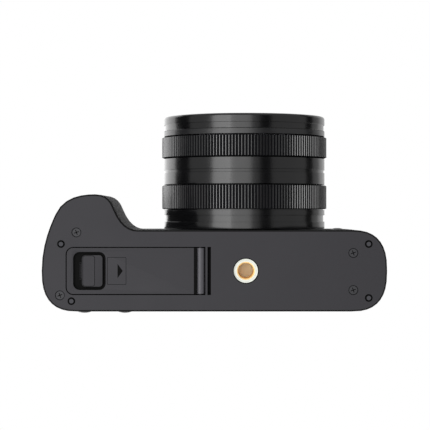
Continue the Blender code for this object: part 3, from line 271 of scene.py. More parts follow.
# The knurled finish paints shade into its groove floors.
KNURLED = anodised("anodised_aluminium_knurled", "#101012", "#18181a", 0.24, shaded_groove_mm=(29.62, 29.75))
STIPPLED = anodised("anodised_aluminium_stippled", "#101012", "#18181a", 0.3, stipple_mm=0.42)

# %% [markdown]
# ## Moulded plastic, rubber and bare metals
#
# Buttons are moulded ABS with a spark-eroded grain. Pads are moulded rubber, duller and softer. The
# accessory shoe is brushed stainless steel, and its brush marks run along the slot. The tripod bush is
# brass: its flange has a thin pale nickel wash and its bore is bare and warm.


# %% Plain finishes with their grain
def grained(name, colour, fleck, roughness, grain_mm, metallic=0.0, stretch=(1, 1, 1), depth_mm=0.02,
            specular=0.5):
    """A finish whose tone, gloss and bump follow one noise, stretched along a brushing direction."""
    material, tree, shader = new_finish(name, Metallic=metallic, Specular_IOR_Level=specular)
    place = add(tree, "TexCoord")
    run = add(tree, "Mapping", {"Vector": place.outputs["Object"], "Scale": stretch})
    grain = add(tree, "TexNoise", {"Vector": run.outputs[0], "Scale": per(grain_mm), "Detail": 4.0})
    tone = add(tree, "MixRGB", {"Fac": grain.outputs["Fac"], "Color1": light_of(colour),
                                "Color2": light_of(fleck)})
    tree.links.new(tone.outputs["Color"], shader.inputs["Base Color"])
    dull = add(tree, "MapRange", {"Value": grain.outputs["Fac"], "To Min": roughness - 0.06,
                                  "To Max": roughness + 0.06})
    tree.links.new(dull.outputs["Result"], shader.inputs["Roughness"])
    bump = add(tree, "Bump", {"Height": grain.outputs["Fac"], "Strength": 0.3, "Distance": depth_mm * MM})
    tree.links.new(bump.outputs["Normal"], shader.inputs["Normal"])
    return material


BUTTON_PLASTIC = grained("moulded_abs_black", "#232325", "#1b1b1d", 0.42, 0.3)
PAD_RUBBER = grained("moulded_rubber_grey", "#48484c", "#424246", 0.8, 0.3, specular=0.2)
RUBBER = grained("moulded_rubber_black", "#2c2c2d", "#222223", 0.75, 0.35, depth_mm=0.04)
SCREW_STEEL = grained("black_oxide_steel", "#343438", "#2b2b2e", 0.5, 0.3, specular=0.4)
SHOE_STEEL = grained("brushed_stainless_steel", "#a8a8a6", "#8c8c8a", 0.3, 0.2, metallic=1.0,
                     stretch=(1, 0.03, 1))
SILVER = grained("machined_aluminium", "#8f8f91", "#7c7c7e", 0.3, 0.25, metallic=1.0)
BRASS_FLANGE = grained("nickel_washed_brass", "#e6e8e0", "#d9dbd0", 0.4, 0.5, metallic=0.2)
BRASS = grained("bare_brass", "#ffdc98", "#fcd086", 0.35, 0.4, metallic=0.15)
# Brass lightened to near white: the bore's floor is painted as lit.
BRASS_FACE_PAINTED_LIGHT = grained("brass_face_painted_light", "#fffde0", "#fdf6cc", 0.4, 0.3, metallic=0.1)
BLADE_STEEL = grained("blued_spring_steel", "#2b2c30", "#202124", 0.35, 0.3, metallic=0.8)
BOARD = grained("solder_masked_laminate", "#1f5a33", "#184a29", 0.4, 1.2)
CELL = grained("printed_cell_wrap", "#6a6a6e", "#5b5b5f", 0.4, 2.0)
WHITE_MARK = grained("pad_printed_white", "#dcdcd6", "#c9c9c2", 0.55, 0.3)
FAINT_MARK = grained("pad_printed_grey", "#1a1a1b", "#161617", 0.7, 0.3, specular=0.1)
# Black ink for print, and also the near-black of the sheets and rings that are painted shade in recesses, gaps
# and grooves.
PRINT_AND_SHADE_BLACK = grained("printed_black_and_painted_shade", "#030303", "#050505", 0.7, 0.3, specular=0.1)
RED_MARK = grained("pad_printed_red", "#b0281c", "#98201a", 0.5, 0.3)

# %% [markdown]
# ## Glass
#
# Camera glass is coated against reflections. The coating leaves a faint violet or green tint on what
# little it still reflects. The front glass passes light, so the blades show behind it. The screen's
# cover is the same glass over a black mask, so it is drawn as a polished black solid.


# %% Coated glass and the screen
def coated_glass(name, tint, film_nm):
    """Clear glass with a thin interference film."""
    material, tree, shader = new_finish(name, Base_Color=light_of(tint), Transmission_Weight=1.0, IOR=1.45,
                                        Thin_Film_Thickness=film_nm, Thin_Film_IOR=1.38)
    place = add(tree, "TexCoord")
    haze = add(tree, "TexNoise", {"Vector": place.outputs["Object"], "Scale": per(8.0)})
    dull = add(tree, "MapRange", {"Value": haze.outputs["Fac"], "To Min": 0.0, "To Max": 0.04})
    tree.links.new(dull.outputs["Result"], shader.inputs["Roughness"])
    return material


FRONT_GLASS = coated_glass("coated_optical_glass", "#f4f2ff", 420.0)
WINDOW_GLASS = coated_glass("coated_window_glass", "#cfd6dd", 380.0)
LAMP_GLASS = coated_glass("moulded_lamp_lens", "#dfe3e6", 0.0)
SCREEN_GLASS = grained("masked_cover_glass", "#08080a", "#0b0b0e", 0.1, 6.0, depth_mm=0.001)
SENSOR_GLASS = grained("sensor_stack", "#1a2230", "#232c3d", 0.12, 2.0, metallic=0.4, depth_mm=0.001)

# %% [markdown]
# ## Tools for shapes
#
# Nearly everything on a camera is either turned on a lathe or milled from plate, so two tools make
# most of it. The lathe tool spins a profile of (radius, distance along the axis). The plate tool gives
# an outline a thickness. A third rounds the corners of a profile, because no real corner is sharp, and
# it is the rounded corner that catches the light.


# %% Lathe, plate and rounding
def eased(points, radius, steps=3):
    """The closed outline with its corners rounded, less where a side is too short for the radius."""
    rounded = []
    for i, point in enumerate(points):
        here = Vector(point)
        back = Vector(points[i - 1]) - here
        ahead = Vector(points[(i + 1) % len(points)]) - here
        cut = min(radius, 0.45 * back.length, 0.45 * ahead.length)
        start, end = here + back.normalized() * cut, here + ahead.normalized() * cut
        for k in range(steps + 1):
            t = k / steps
            rounded.append((1 - t) ** 2 * start + 2 * t * (1 - t) * here + t ** 2 * end)
    return rounded


def finished(name, bm, material, body, stands_for=(), sharp=32):
    """Turn a bmesh into a piece with its finish, riding on its body of the mechanical model."""
    bmesh.ops.recalc_face_normals(bm, faces=bm.faces)
    mesh = bpy.data.meshes.new(name)
    bm.to_mesh(mesh)
    bm.free()
    mesh.shade_smooth()
    mesh.set_sharp_from_angle(angle=math.radians(sharp))
    mesh.materials.append(material)
    piece = bpy.data.objects.new(name, mesh)
    bpy.context.scene.collection.objects.link(piece)
    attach(piece, body)
    if stands_for:
        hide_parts(*stands_for)
    return piece


def lathe(profile, origin, axis, steps=144, dip=None, solid=False):
    """A bmesh turned about an axis. dip(step, radius, along) returns how far the surface is cut in."""
    side = axis.orthogonal().normalized()
    across = axis.cross(side)
    bm = bmesh.new()
    rings = []
    for k in range(steps):
        out = math.cos(math.tau * k / steps) * side + math.sin(math.tau * k / steps) * across
        depth = [dip(k, r, h) if dip else 0 for r, h in profile]
        rings.append([bm.verts.new(origin + (r - d) * out + h * axis) for (r, h), d in zip(profile, depth)])
    last = len(profile) - 1 if solid else len(profile)
    for near, far in zip(rings, rings[1:] + rings[:1]):
        for i in range(last):
            j = (i + 1) % len(profile)
            bm.faces.new((near[i], far[i], far[j], near[j]))
    if solid:
        bmesh.ops.remove_doubles(bm, verts=bm.verts, dist=1e-8)
    return bm


def slab(outline, low, high, place):
    """A bmesh of an outline given a thickness; place(x, y, height) puts a point in the frame."""
    bm = bmesh.new()
    floor = [bm.verts.new(place(p[0], p[1], low)) for p in outline]
    roof = [bm.verts.new(place(p[0], p[1], high)) for p in outline]
    for i in range(len(outline)):
        j = (i + 1) % len(outline)
        bm.faces.new((floor[i], floor[j], roof[j], roof[i]))
    bm.faces.new(floor[::-1])
    bm.faces.new(roof)
    return bm


def oblong(centre, width, depth):
    """The four corners of a rectangle about its centre."""
    (x, y), w, d = centre, width / 2, depth / 2
    return [(x - w, y - d), (x + w, y - d), (x + w, y + d), (x - w, y + d)]


def under(x, y, height):
    """Place for things on the underside: height is measured down from the plate."""
    return Vector((x, y, PLATE - height))


def on_top(x, y, height):
    """Place for things on the deck: height is measured up from it."""
    return Vector((x, y, DECK + height))


def softened(node, material, width):
    """A copy of a mechanical node with a small round worked along each of its sharp edges."""
    bm = bmesh.new()
    bm.from_mesh(nodes[node].data)
    bmesh.ops.remove_doubles(bm, verts=bm.verts, dist=1e-6)
    bmesh.ops.dissolve_limit(bm, angle_limit=math.radians(0.02), verts=bm.verts, edges=bm.edges)
    piece = finished(node + "_softened", bm, material, body_of[node], [node])
    round_edges = piece.modifiers.new("rounded edges", 'BEVEL')
    round_edges.width = width
    round_edges.segments = 2
    round_edges.limit_method = 'ANGLE'
    round_edges.angle_limit = math.radians(32)
    round_edges.harden_normals = True
    return piece


# %% [markdown]
# ## The fixed barrel
#
# From the body forward come a thin mounting flange, a neck that is a hair smaller, a step, the rear
# ring, the middle barrel with one fine groove, the front ring, and the filter ring with a wider groove
# and a rounded rim. On the real lens these are tubes turned to slip inside one another, with a few
# tenths of a millimetre between them. Each is drawn here at its mechanical node's own radius and
# length, with many more steps round so that its outline is a true circle.


# %% Measure a lens node and turn the fixed parts
def span(node):
    """Back and front (forward of the body's front plane), outer radius and bore radius of a lens node."""
    points = [v.co - LENS for v in nodes[node].data.vertices]
    reach = [math.hypot(p.x, p.z) for p in points]
    along = [-p.y for p in points]
    return min(along), max(along), max(reach), min(reach)


def barrel(name, profile, material, body="root", stands_for=(), ease=0.12 * MM,
           steps=192):
    """A turned lens part whose corners are eased; a profile that touches the axis is a solid."""
    solid = profile[0][0] == 0
    shape = [profile[0]] + eased(profile, ease)[4:-4] + [profile[-1]] if solid else eased(profile, ease)
    return finished(name, lathe(shape, LENS, FORWARD, steps, solid=solid), material, body, stands_for)


back, front, rim_r, bore_r = span("lens_flange")
barrel("mount_flange", [(bore_r, back), (rim_r, back), (rim_r, front), (bore_r, front)], ANODISED,
       stands_for=["lens_flange"])

tube_back, tube_front, step_r, throat_r = span("lens_tube")
NECK_R, NECK_BACK, STEP_BACK, STEP_FRONT = step_r - 0.5 * MM, front + 0.3 * MM, 5.1 * MM, 7.0 * MM
TUBE_R, TUBE_BORE, TUBE_FLOOR = bore_r - 0.3 * MM, bore_r - 2.3 * MM, 2.0 * MM
barrel("fixed_barrel", [
    (TUBE_BORE, tube_front), (TUBE_BORE, TUBE_FLOOR), (throat_r, TUBE_FLOOR), (throat_r, tube_back),
    (throat_r + 2 * MM, tube_back), (throat_r + 2 * MM, 0.3 * MM), (TUBE_R, 0.3 * MM), (TUBE_R, NECK_BACK),
    (NECK_R, NECK_BACK), (NECK_R, STEP_BACK), (step_r, STEP_BACK), (step_r, STEP_FRONT), (TUBE_R, STEP_FRONT),
    (TUBE_R, tube_front)], ANODISED, stands_for=["lens_tube"])

back, front, rim_r, bore_r = span("middle_barrel")
GROOVE_DEPTH = 0.35 * MM
groove = back + 4.2 * MM
barrel("middle_barrel_turned", [
    (bore_r, back), (rim_r, back), (rim_r, groove), (rim_r - GROOVE_DEPTH, groove),
    (rim_r - GROOVE_DEPTH, groove + 1.0 * MM), (rim_r, groove + 1.0 * MM), (rim_r, front), (bore_r, front)],
    ANODISED, stands_for=["middle_barrel"])
print("barrel radius", round(rim_r / MM, 2), "mm")

# %% [markdown]
# ## The filter ring
#
# The front ring carries the filter thread. Its outside has a stippled band, a groove in which a hood
# locks, and a rim turned to a soft round. Inside, fine ridges stand for the thread, and a stepped
# black bezel leads down to the glass. The ridges also kill stray light.

# %% Filter ring, bezel and glass
back, front, rim_r, seat_r = span("filter_ring")
FILTER_R, FILTER_FLOOR = 26.0 * MM, front - 4.7 * MM
GROOVE_BACK, GROOVE_FRONT = back + 2.0 * MM, back + 4.1 * MM
outside = [(rim_r, back + 1.95 * MM), (rim_r - GROOVE_DEPTH, GROOVE_BACK),
           (rim_r - GROOVE_DEPTH, GROOVE_FRONT),
           (rim_r, GROOVE_FRONT), (rim_r, front - 0.8 * MM), (rim_r - 0.25 * MM, front - 0.25 * MM),
           (rim_r - 0.8 * MM, front), (FILTER_R + 0.4 * MM, front), (FILTER_R, front - 0.4 * MM)]
THREAD_PITCH = 0.75 * MM
thread = []
height = front - 0.5 * MM
while height > FILTER_FLOOR + THREAD_PITCH:
    thread += [(FILTER_R, height), (FILTER_R + 0.3 * MM, height - THREAD_PITCH / 2)]
    height -= THREAD_PITCH
bezel = [(FILTER_R, FILTER_FLOOR), (FILTER_R - 1.0 * MM, FILTER_FLOOR), (seat_r, FILTER_FLOOR - 1.6 * MM),
         (seat_r, back + 0.05 * MM)]
barrel("filter_ring_turned", outside + thread + bezel, ANODISED, stands_for=["filter_ring"], ease=0.1 * MM)
barrel("filter_ring_stippled_band", [
    (seat_r + 0.1 * MM, back), (rim_r, back), (rim_r, back + 1.9 * MM), (seat_r + 0.1 * MM, back + 1.9 * MM)],
    STIPPLED, ease=0.15 * MM)
back, front, rim_r, bore_r = span("front_glass")


def ball_face(radius, edge, rise, steps=14):
    """Profile points of a glass face from its rim to the axis: part of a ball."""
    ball = (radius ** 2 + rise ** 2) / (2 * rise)
    return [(radius * (1 - k / steps),
             edge + math.sqrt(ball ** 2 - (radius * (1 - k / steps)) ** 2) - ball + rise)
            for k in range(1, steps + 1)]


def glass_part(name, node, edge_from_back, material, body):
    """A glass with a flat back and a domed front, as deep as its mechanical node."""
    back, front, radius, _ = span(node)
    edge = back + edge_from_back
    profile = [(0, back), (radius - 0.2 * MM, back), (radius, back + 0.2 * MM), (radius, edge)]
    profile += ball_face(radius, edge, front - edge)
    return finished(name, lathe(profile, LENS, FORWARD, 96, solid=True), material, body, [node])


glass_part("front_glass_polished", "front_glass", 3.0 * MM, FRONT_GLASS, "root")
glass_part("focus_glass_polished", "focus_glass", 3.0 * MM, FRONT_GLASS, "focus_group")
glass_part("rear_glass_polished", "rear_glass", 2.0 * MM, FRONT_GLASS, "root")

SEAM_R, SEAM_WALL, SEAM_BACK = 28.75 * MM, 1.0 * MM, 2.6 * MM
seam_front = span("aperture_ring")[0] - 0.02 * MM
seam = [(SEAM_R - SEAM_WALL, SEAM_BACK), (SEAM_R, SEAM_BACK), (SEAM_R, seam_front),
        (SEAM_R - SEAM_WALL, seam_front)]
finished("seam_sleeve", lathe(seam, LENS, FORWARD, 144), ANODISED, "root")

# %% [markdown]
# ## The two knurled rings
#
# Fingers turn these rings, so they are knurled: straight grooves are rolled into the metal along the
# axis, 168 of them, which leaves a land about a third of a millimetre wide every 1.1 millimetres. The
# grooves run out at both ends, where a small bevel catches the light as a dotted line.

# %% Knurled rings
TEETH = 168
KNURL_DEPTH = 0.3 * MM
KNURL_BEVEL = 0.25 * MM
SHOULDER = 0.6 * MM             # the ring's ends are this much below its lands
for node in ("aperture_ring", "focus_ring"):
    back, front, land_r, bore_r = span(node)
    low_r = land_r - SHOULDER

    def grooves(step, radius, along):
        """Four of a tooth's six steps are cut in, on the lands only."""
        return KNURL_DEPTH if step % 6 < 4 and radius > low_r else 0

    profile = [(bore_r, back), (low_r, back), (land_r, back + KNURL_BEVEL), (land_r, front - KNURL_BEVEL),
               (low_r, front), (bore_r, front)]
    ring = lathe(profile, LENS, FORWARD, TEETH * 6, dip=grooves)
    finished(node + "_knurled", ring, KNURLED, node, [node], sharp=25)
    print(node, "pitch", round(math.tau * land_r / TEETH / MM, 2), "mm")

# %% [markdown]
# ## The underside
#
# The plate, the door and the latch are milled flat, then their edges are broken with a small round
# before painting. The rounds of the door and the latch are worked on copies of their mechanical nodes;
# the plate keeps its mechanical shape and only takes its paint. What else sits here is printed or
# applied: a thin frame and a triangle on the door that show which way the latch slides, and a low rib
# moulded on the latch for a fingernail.

# %% Plate, door, latch and their marks
nodes["bottom_plate"].data.materials[0] = PLATE_PAINT
softened("battery_door", PLATE_PAINT, 0.15 * MM)
softened("battery_latch", PLATE_PAINT, 0.1 * MM)


def band(outer, inner, low, high, place):
    """A bmesh of a flat frame between two outlines that have the same number of points."""
    bm = bmesh.new()
    rows = [[bm.verts.new(place(p[0], p[1], h)) for p in path]
            for path, h in ((outer, low), (outer, high), (inner, high), (inner, low))]
    for near, far in zip(rows, rows[1:] + rows[:1]):
        for i in range(len(near)):
            j = (i + 1) % len(near)
            bm.faces.new((near[i], near[j], far[j], far[i]))
    return bm


door_low, door_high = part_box("battery_door")
DOOR_Y = (door_low.y + door_high.y) / 2
PAD_LEFT, PAD_WIDTH = -45.8 * MM, 11.1 * MM
LATCH_FACE = PLATE + 0.1 * MM
RECESS_FLOOR = PLATE + 1.2 * MM
# Painted shade: a near-black sheet on the floor of the latch's recess, round the pad, where the recess lies in
# shade.
bed = band(eased(oblong((-43.1 * MM, DOOR_Y), 11.1 * MM, 13.0 * MM), 2.1 * MM, 5),
           eased(oblong((-43.45 * MM, DOOR_Y), 6.4 * MM, 5.8 * MM), 0.1 * MM, 5), 0, 0.15 * MM,
           lambda x, y, h: Vector((x, y, RECESS_FLOOR - h)))
finished("latch_recess_painted_shade", bed, PRINT_AND_SHADE_BLACK, "door")
RIB_MIDDLE, RIB_LENGTH, RIB_WIDTH = PAD_LEFT + 2.45 * MM, 3.9 * MM, PAD_WIDTH - 0.8 * MM
RIB_LINE = 0.16 * MM
rib_outline = eased(oblong((RIB_MIDDLE, DOOR_Y), RIB_LENGTH, RIB_WIDTH), 0.8 * MM, 5)
line_outline = eased(oblong((RIB_MIDDLE, DOOR_Y), RIB_LENGTH + 2 * RIB_LINE, RIB_WIDTH + 2 * RIB_LINE),
                     0.9 * MM, 5)


def on_latch(x, y, height):
    """Place for things on the latch's face."""
    return Vector((x, y, LATCH_FACE - height))


finished("latch_rib", slab(rib_outline, -0.05 * MM, 0.1 * MM, on_latch), PLATE_PAINT, "latch")
# Painted shade: a near-black line round the rib stands for the shade in a groove; the shape has no groove.
finished("latch_rib_painted_groove_shade", band(line_outline, rib_outline, 0, 0.02 * MM, on_latch), PRINT_AND_SHADE_BLACK, "latch")
HINGE_BARREL_R, PIN_HOLE_R, HINGE_EASE = 1.42 * MM, 0.9 * MM, 0.1 * MM
HINGE_X, HINGE_Z = -4.8 * MM, PLATE + 1.4 * MM
END_CLEARANCE = 0.02 * MM
barrel_length = door_high.y - door_low.y - 2 * END_CLEARANCE
sleeve = [(PIN_HOLE_R, 0), (HINGE_BARREL_R - HINGE_EASE, 0), (HINGE_BARREL_R, HINGE_EASE),
          (HINGE_BARREL_R, barrel_length - HINGE_EASE), (HINGE_BARREL_R - HINGE_EASE, barrel_length),
          (PIN_HOLE_R, barrel_length)]
barrel_place = Vector((HINGE_X, door_low.y + END_CLEARANCE, HINGE_Z))
# Painted highlight: a sleeve a hair over the barrel wears the lighter paint, so the barrel shows a bright bar.
finished("hinge_barrel", lathe(sleeve, barrel_place, BACKWARD, 48), HINGE_HIGHLIGHT_PAINT, "door")
# Painted shade: a near-black strip beside the barrel stands for the shade in the hinge's relief groove.
RELIEF_X, RELIEF_WIDTH = -6.55 * MM, 1.1 * MM
relief = slab(oblong((RELIEF_X, DOOR_Y), RELIEF_WIDTH, barrel_length), 0, 0.02 * MM, under)
finished("hinge_relief_painted_shade", relief, PRINT_AND_SHADE_BLACK, "door")
# Painted shade: a near-black sheet on the floor of the hinge slot, where the deep slot lies in shade.
SLOT_X, SLOT_WIDTH, SLOT_LENGTH, SLOT_DEEP = -1.8 * MM, 1.16 * MM, 16.5 * MM, 1.6 * MM
slot_bed = slab(oblong((SLOT_X, DOOR_Y), SLOT_WIDTH, SLOT_LENGTH), 0, 0.05 * MM,
                lambda x, y, h: under(x, y, h - SLOT_DEEP))
finished("hinge_slot_painted_shade", slot_bed, PRINT_AND_SHADE_BLACK, "root")

LABEL_X, LABEL_W, LABEL_D = -33.7 * MM, 6.6 * MM, 9.5 * MM
LINE = 0.16 * MM
PRINT = 0.02 * MM                # printed ink stands this much proud
frame_outer = eased(oblong((LABEL_X, DOOR_Y), LABEL_W, LABEL_D), 0.4 * MM)
frame_inner = eased(oblong((LABEL_X, DOOR_Y), LABEL_W - 2 * LINE, LABEL_D - 2 * LINE), 0.3 * MM)
frame_line = band(frame_outer, frame_inner, 0, PRINT, under)
finished("label_frame", frame_line, FAINT_MARK, "door")
ARROW_REACH, ARROW_HALF = 1.8 * MM, 2.45 * MM
arrow = [(LABEL_X + 0.3 * MM, DOOR_Y - ARROW_HALF), (LABEL_X + 0.3 * MM + ARROW_REACH, DOOR_Y),
         (LABEL_X + 0.3 * MM, DOOR_Y + ARROW_HALF)]
finished("label_arrow", slab(arrow, 0, PRINT, under), PRINT_AND_SHADE_BLACK, "door")

# %% [markdown]
# ## Bush, pads and screws
#
# The tripod bush is a brass nut with a flange, pressed into the plate from outside. Its thread is the
# usual quarter-inch one of twenty turns to the inch, so a turn climbs 1.27 mm. The thread is cut by
# letting the bore's radius rise and fall with both angle and depth, which makes a true helix. It is
# drawn 0.42 mm deep, about three fifths of the standard thread's 0.69 mm, which keeps it inside the
# sleeve's wall.

# %% Bush with its thread
BUSH_PITCH = 25.4 * MM / 20
BUSH_STEPS = 64
BUSH_BORE, SLEEVE_R, THREAD_CUT = 2.62 * MM, 3.12 * MM, 0.42 * MM
THREAD_START, THREAD_END = 0.5 * MM, 9.1 * MM
low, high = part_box("tripod_bush")
bush_place = Vector((LENS.x, (low.y + high.y) / 2, low.z))
flange_r, bush_top = (high.x - low.x) / 2, high.z - low.z


def helix(step, radius, along):
    """How far the thread is cut into the wall of the bore; a cut outwards is negative."""
    if radius != BUSH_BORE or not THREAD_START < along < THREAD_END:
        return 0
    turn = (along / BUSH_PITCH - step / BUSH_STEPS) % 1
    return -THREAD_CUT * (1 - abs(2 * turn - 1))


rows = 60
wall = [(BUSH_BORE, THREAD_END + (THREAD_START - THREAD_END) * k / rows) for k in range(rows + 1)]
sleeve = [(0, THREAD_END)] + wall + [(BUSH_BORE + 0.2 * MM, 0.1 * MM), (SLEEVE_R, 0.04 * MM),
                                     (SLEEVE_R, bush_top), (0, bush_top)]
finished("bush_thread", lathe(sleeve, bush_place, UP, BUSH_STEPS, dip=helix, solid=True), BRASS, "root",
         ["tripod_bush"])
# Painted light: the bore's floor wears the near-white brass so that it reads as lit from below.
floor = [(0, THREAD_END - 0.1 * MM), (BUSH_BORE * 0.95, THREAD_END - 0.1 * MM),
         (BUSH_BORE * 0.95, THREAD_END - 0.02 * MM), (0, THREAD_END - 0.02 * MM)]
finished("bush_floor", lathe(floor, bush_place, UP, 40, solid=True), BRASS_FACE_PAINTED_LIGHT, "root")
FLANGE_STEP_R = 3.75 * MM
flange = [(SLEEVE_R + 0.01 * MM, 0), (FLANGE_STEP_R - 0.1 * MM, 0), (FLANGE_STEP_R, 0.08 * MM),
          (flange_r - 0.1 * MM, 0.02 * MM), (flange_r, 0.12 * MM), (flange_r, 2.9 * MM),
          (flange_r - 0.5 * MM, 2.9 * MM), (flange_r - 0.5 * MM, bush_top), (SLEEVE_R + 0.01 * MM, bush_top)]
finished("bush_flange", lathe(flange, bush_place, UP, 64), BRASS_FLANGE, "root")
for number in range(1, 5):
    low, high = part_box(f"foot_{number}")
    pad_r, deep = (high.x - low.x) / 2, high.z - low.z
    place = Vector(((low.x + high.x) / 2, (low.y + high.y) / 2, low.z))
    # Painted shade: the pad's outer ring and a ring in the plate's hole round it are near-black, as the gap
    # round the pad lies in shade; the grey crown is the pad's own face.
    pad = [(0, 0.1 * MM), (pad_r * 0.74, 0.1 * MM), (pad_r * 0.76, 0), (pad_r - 0.15 * MM, 0),
           (pad_r, 0.15 * MM), (pad_r, deep), (0, deep)]
    finished(f"pad_{number}", lathe(pad, place, UP, 32, solid=True), PRINT_AND_SHADE_BLACK, "root",
             [f"foot_{number}"])
    crown = [(0, 0.02 * MM), (pad_r * 0.72, 0.02 * MM), (pad_r * 0.72, 0.3 * MM), (0, 0.3 * MM)]
    finished(f"pad_crown_{number}", lathe(crown, place, UP, 32, solid=True), PAD_RUBBER, "root")
    collar = [(pad_r + 0.01 * MM, PLATE + 0.15 * MM), (pad_r + 0.29 * MM, PLATE + 0.1 * MM),
              (pad_r + 0.29 * MM, PLATE + 0.6 * MM), (pad_r + 0.01 * MM, PLATE + 0.6 * MM)]
    finished(f"pad_gap_painted_shade_{number}", lathe(collar, place, UP, 32), PRINT_AND_SHADE_BLACK, "root")

# %% [markdown]
# A cross-head screw closes the plate at each of four places. Its head is painted with the plate. The
# cross is drawn as the driver's tip leaves it: four tapered wings that meet in a pit. Near-black slabs
# in the wings and a near-black ring round the head are painted shade of the recess and of the gap.

# %% Cross-head screws
HEAD_R, HEAD_TALL, WING, WING_HALF, CROSS_DEEP = 1.6 * MM, 0.9 * MM, 0.95 * MM, 0.2 * MM, 0.5 * MM
for number in range(1, 5):
    low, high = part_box(f"bottom_screw_{number}")
    place = Vector(((low.x + high.x) / 2, (low.y + high.y) / 2, low.z))
    tall = high.z - low.z
    head = [(WING * 1.02, 0), (HEAD_R - 0.2 * MM, 0), (HEAD_R, 0.15 * MM), (HEAD_R, HEAD_TALL),
            (0.8 * MM, HEAD_TALL), (0.8 * MM, tall), (0, tall), (0, CROSS_DEEP)]
    steps = 64

    def wings(k):
        """The cross's edge at one of the steps round: far out along four wings, near in between them."""
        turn = math.tau * k / steps
        share = abs(math.cos(2 * (turn + math.radians(20))))
        return WING_HALF * 1.4 + (WING - WING_HALF * 1.4) * max(0.0, (share - 0.72) / 0.28)

    bm = bmesh.new()
    rings = []
    for k in range(steps):
        out = Vector((math.cos(math.tau * k / steps), math.sin(math.tau * k / steps), 0))
        reach = [wings(k), wings(k) * 0.9] + [r for r, h in head]
        depth = [0, CROSS_DEEP] + [h for r, h in head]
        rings.append([bm.verts.new(place + reach[i] * out + Vector((0, 0, depth[i])))
                      for i in (9, 1, 0, 2, 3, 4, 5, 6, 7, 8)])
    for near, far in zip(rings, rings[1:] + rings[:1]):
        for i in range(len(near) - 1):
            bm.faces.new((near[i], far[i], far[i + 1], near[i + 1]))
    bmesh.ops.remove_doubles(bm, verts=bm.verts, dist=1e-8)
    finished(f"plate_screw_{number}", bm, SCREW_STEEL, "root", [f"bottom_screw_{number}"])
    # Painted shade: near-black slabs lie in the cross's wings, where the recess is in shade.
    for side, turn in (("a", math.radians(-20)), ("b", math.radians(70))):
        arm = [(math.cos(turn) * x - math.sin(turn) * y, math.sin(turn) * x + math.cos(turn) * y)
               for x, y in oblong((0, 0), 1.7 * WING, 1.5 * WING_HALF)]
        shade = slab(arm, 0, 0.04 * MM, lambda x, y, h: place + Vector((x, y, CROSS_DEEP * 0.4 - h)))
        finished(f"screw_recess_{number}_{side}", shade, PRINT_AND_SHADE_BLACK, "root")
    # Painted shade: a near-black ring round the head, in the gap between head and plate.
    well = [(HEAD_R + 0.01 * MM, 0.1 * MM), (HEAD_R + 0.28 * MM, 0.05 * MM), (HEAD_R + 0.28 * MM, 0.6 * MM),
            (HEAD_R + 0.01 * MM, 0.6 * MM)]
    finished(f"screw_gap_painted_shade_{number}", lathe(well, Vector((place.x, place.y, PLATE)), UP, 32), PRINT_AND_SHADE_BLACK, "root")
print("thread pitch", round(BUSH_PITCH / MM, 2), "mm")

# %% [markdown]
# ## Covers and skins
#
# The covers are castings, so their sharp edges are broken like the plate's. The cloth skins are glued
# into shallow recesses between them, and the cover over the sockets is a flap of the same cloth on a
# stiff backing. Pieces inside the shells keep their mechanical shapes and only take a finish.

# %% Shells, skins and inside pieces
for node, finish, width in (
        ("front_cover", COVER_PAINT, 0.12), ("rear_cover", COVER_PAINT, 0.15), ("top_cover", PLATE_PAINT, 0.12),
        ("grip_skin", LEATHER, 0.2), ("front_skin", LEATHER, 0.2), ("side_cover", LEATHER, 0.2),
        ("hot_shoe", SHOE_STEEL, 0.1), ("eyepiece_frame", RUBBER, 0.3), ("screen_glass", SCREEN_GLASS, 0.15)):
    softened(node, finish, width * MM)
for finish, members in (
        (SHOE_STEEL, ("base_frame",)), (SCREW_STEEL, ("hinge_pin",)),
        (BOARD, ("main_board", "button_board", "sensor_board")),
        (CELL, ("battery", "screen_panel")), (BUTTON_PLASTIC, ("battery_box", "memory_card")),
        (SENSOR_GLASS, ("image_sensor",)), (ANODISED, ("focus_cell",)),
        (WINDOW_GLASS, ("viewfinder_window", "eyepiece_glass")),
        (BLADE_STEEL, [f"iris_blade_{k}" for k in range(1, 6)])):
    for node in members:
        nodes[node].data.materials.clear()
        nodes[node].data.materials.append(finish)

# %% [markdown]
# ## Contacts and baffles
#
# A flash talks to the camera through one large and three small contacts set in a plastic plate between
# the shoe's rails. Behind each viewfinder window a black baffle keeps stray light out of the body.

# %% Shoe contacts and finder baffles
shoe_low, shoe_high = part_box("hot_shoe")
shoe_x, shoe_y = (shoe_low.x + shoe_high.x) / 2, (shoe_low.y + shoe_high.y) / 2
contact_plate = eased(oblong((shoe_x, shoe_y + 0.8 * MM), 9.4 * MM, 9.6 * MM), 1.4 * MM, 6)
finished("shoe_contact_plate", slab(contact_plate, -0.05 * MM, 0.1 * MM, on_top), BUTTON_PLASTIC, "root")
for number, (x, y, radius) in enumerate(((0, 0, 1.5), (-2.9, 3.8, 0.75), (0, 3.8, 0.75), (2.9, 3.8, 0.75)), 1):
    stud = [(0, 0), (radius * MM, 0), (radius * MM, 0.1 * MM)] + ball_face(radius * MM, 0.1 * MM, 0.08 * MM, 4)
    finished(f"shoe_contact_{number}", lathe(stud, on_top(shoe_x + x * MM, shoe_y + y * MM, 0.05 * MM), UP, 32,
                                             solid=True), SILVER, "root")
for node, inward in (("viewfinder_window", BACKWARD), ("eyepiece_glass", FORWARD)):
    low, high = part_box(node)
    face = (high.y if inward == BACKWARD else low.y) + inward.y * 0.4 * MM
    corners = oblong(((low.x + high.x) / 2, (low.z + high.z) / 2), high.x - low.x, high.z - low.z)
    baffle = slab(corners, 0, 0.2 * MM, lambda x, z, h: Vector((x, face + inward.y * h, z)))
    finished(node + "_baffle", baffle, RUBBER, "root")

# %% [markdown]
# ## The lamp and the back's controls
#
# The lamp beside the lens helps focusing in the dark. The four buttons are small moulded domes in
# turned holes. The control wheel has fine radial ticks under the thumb, and its centre presses too.

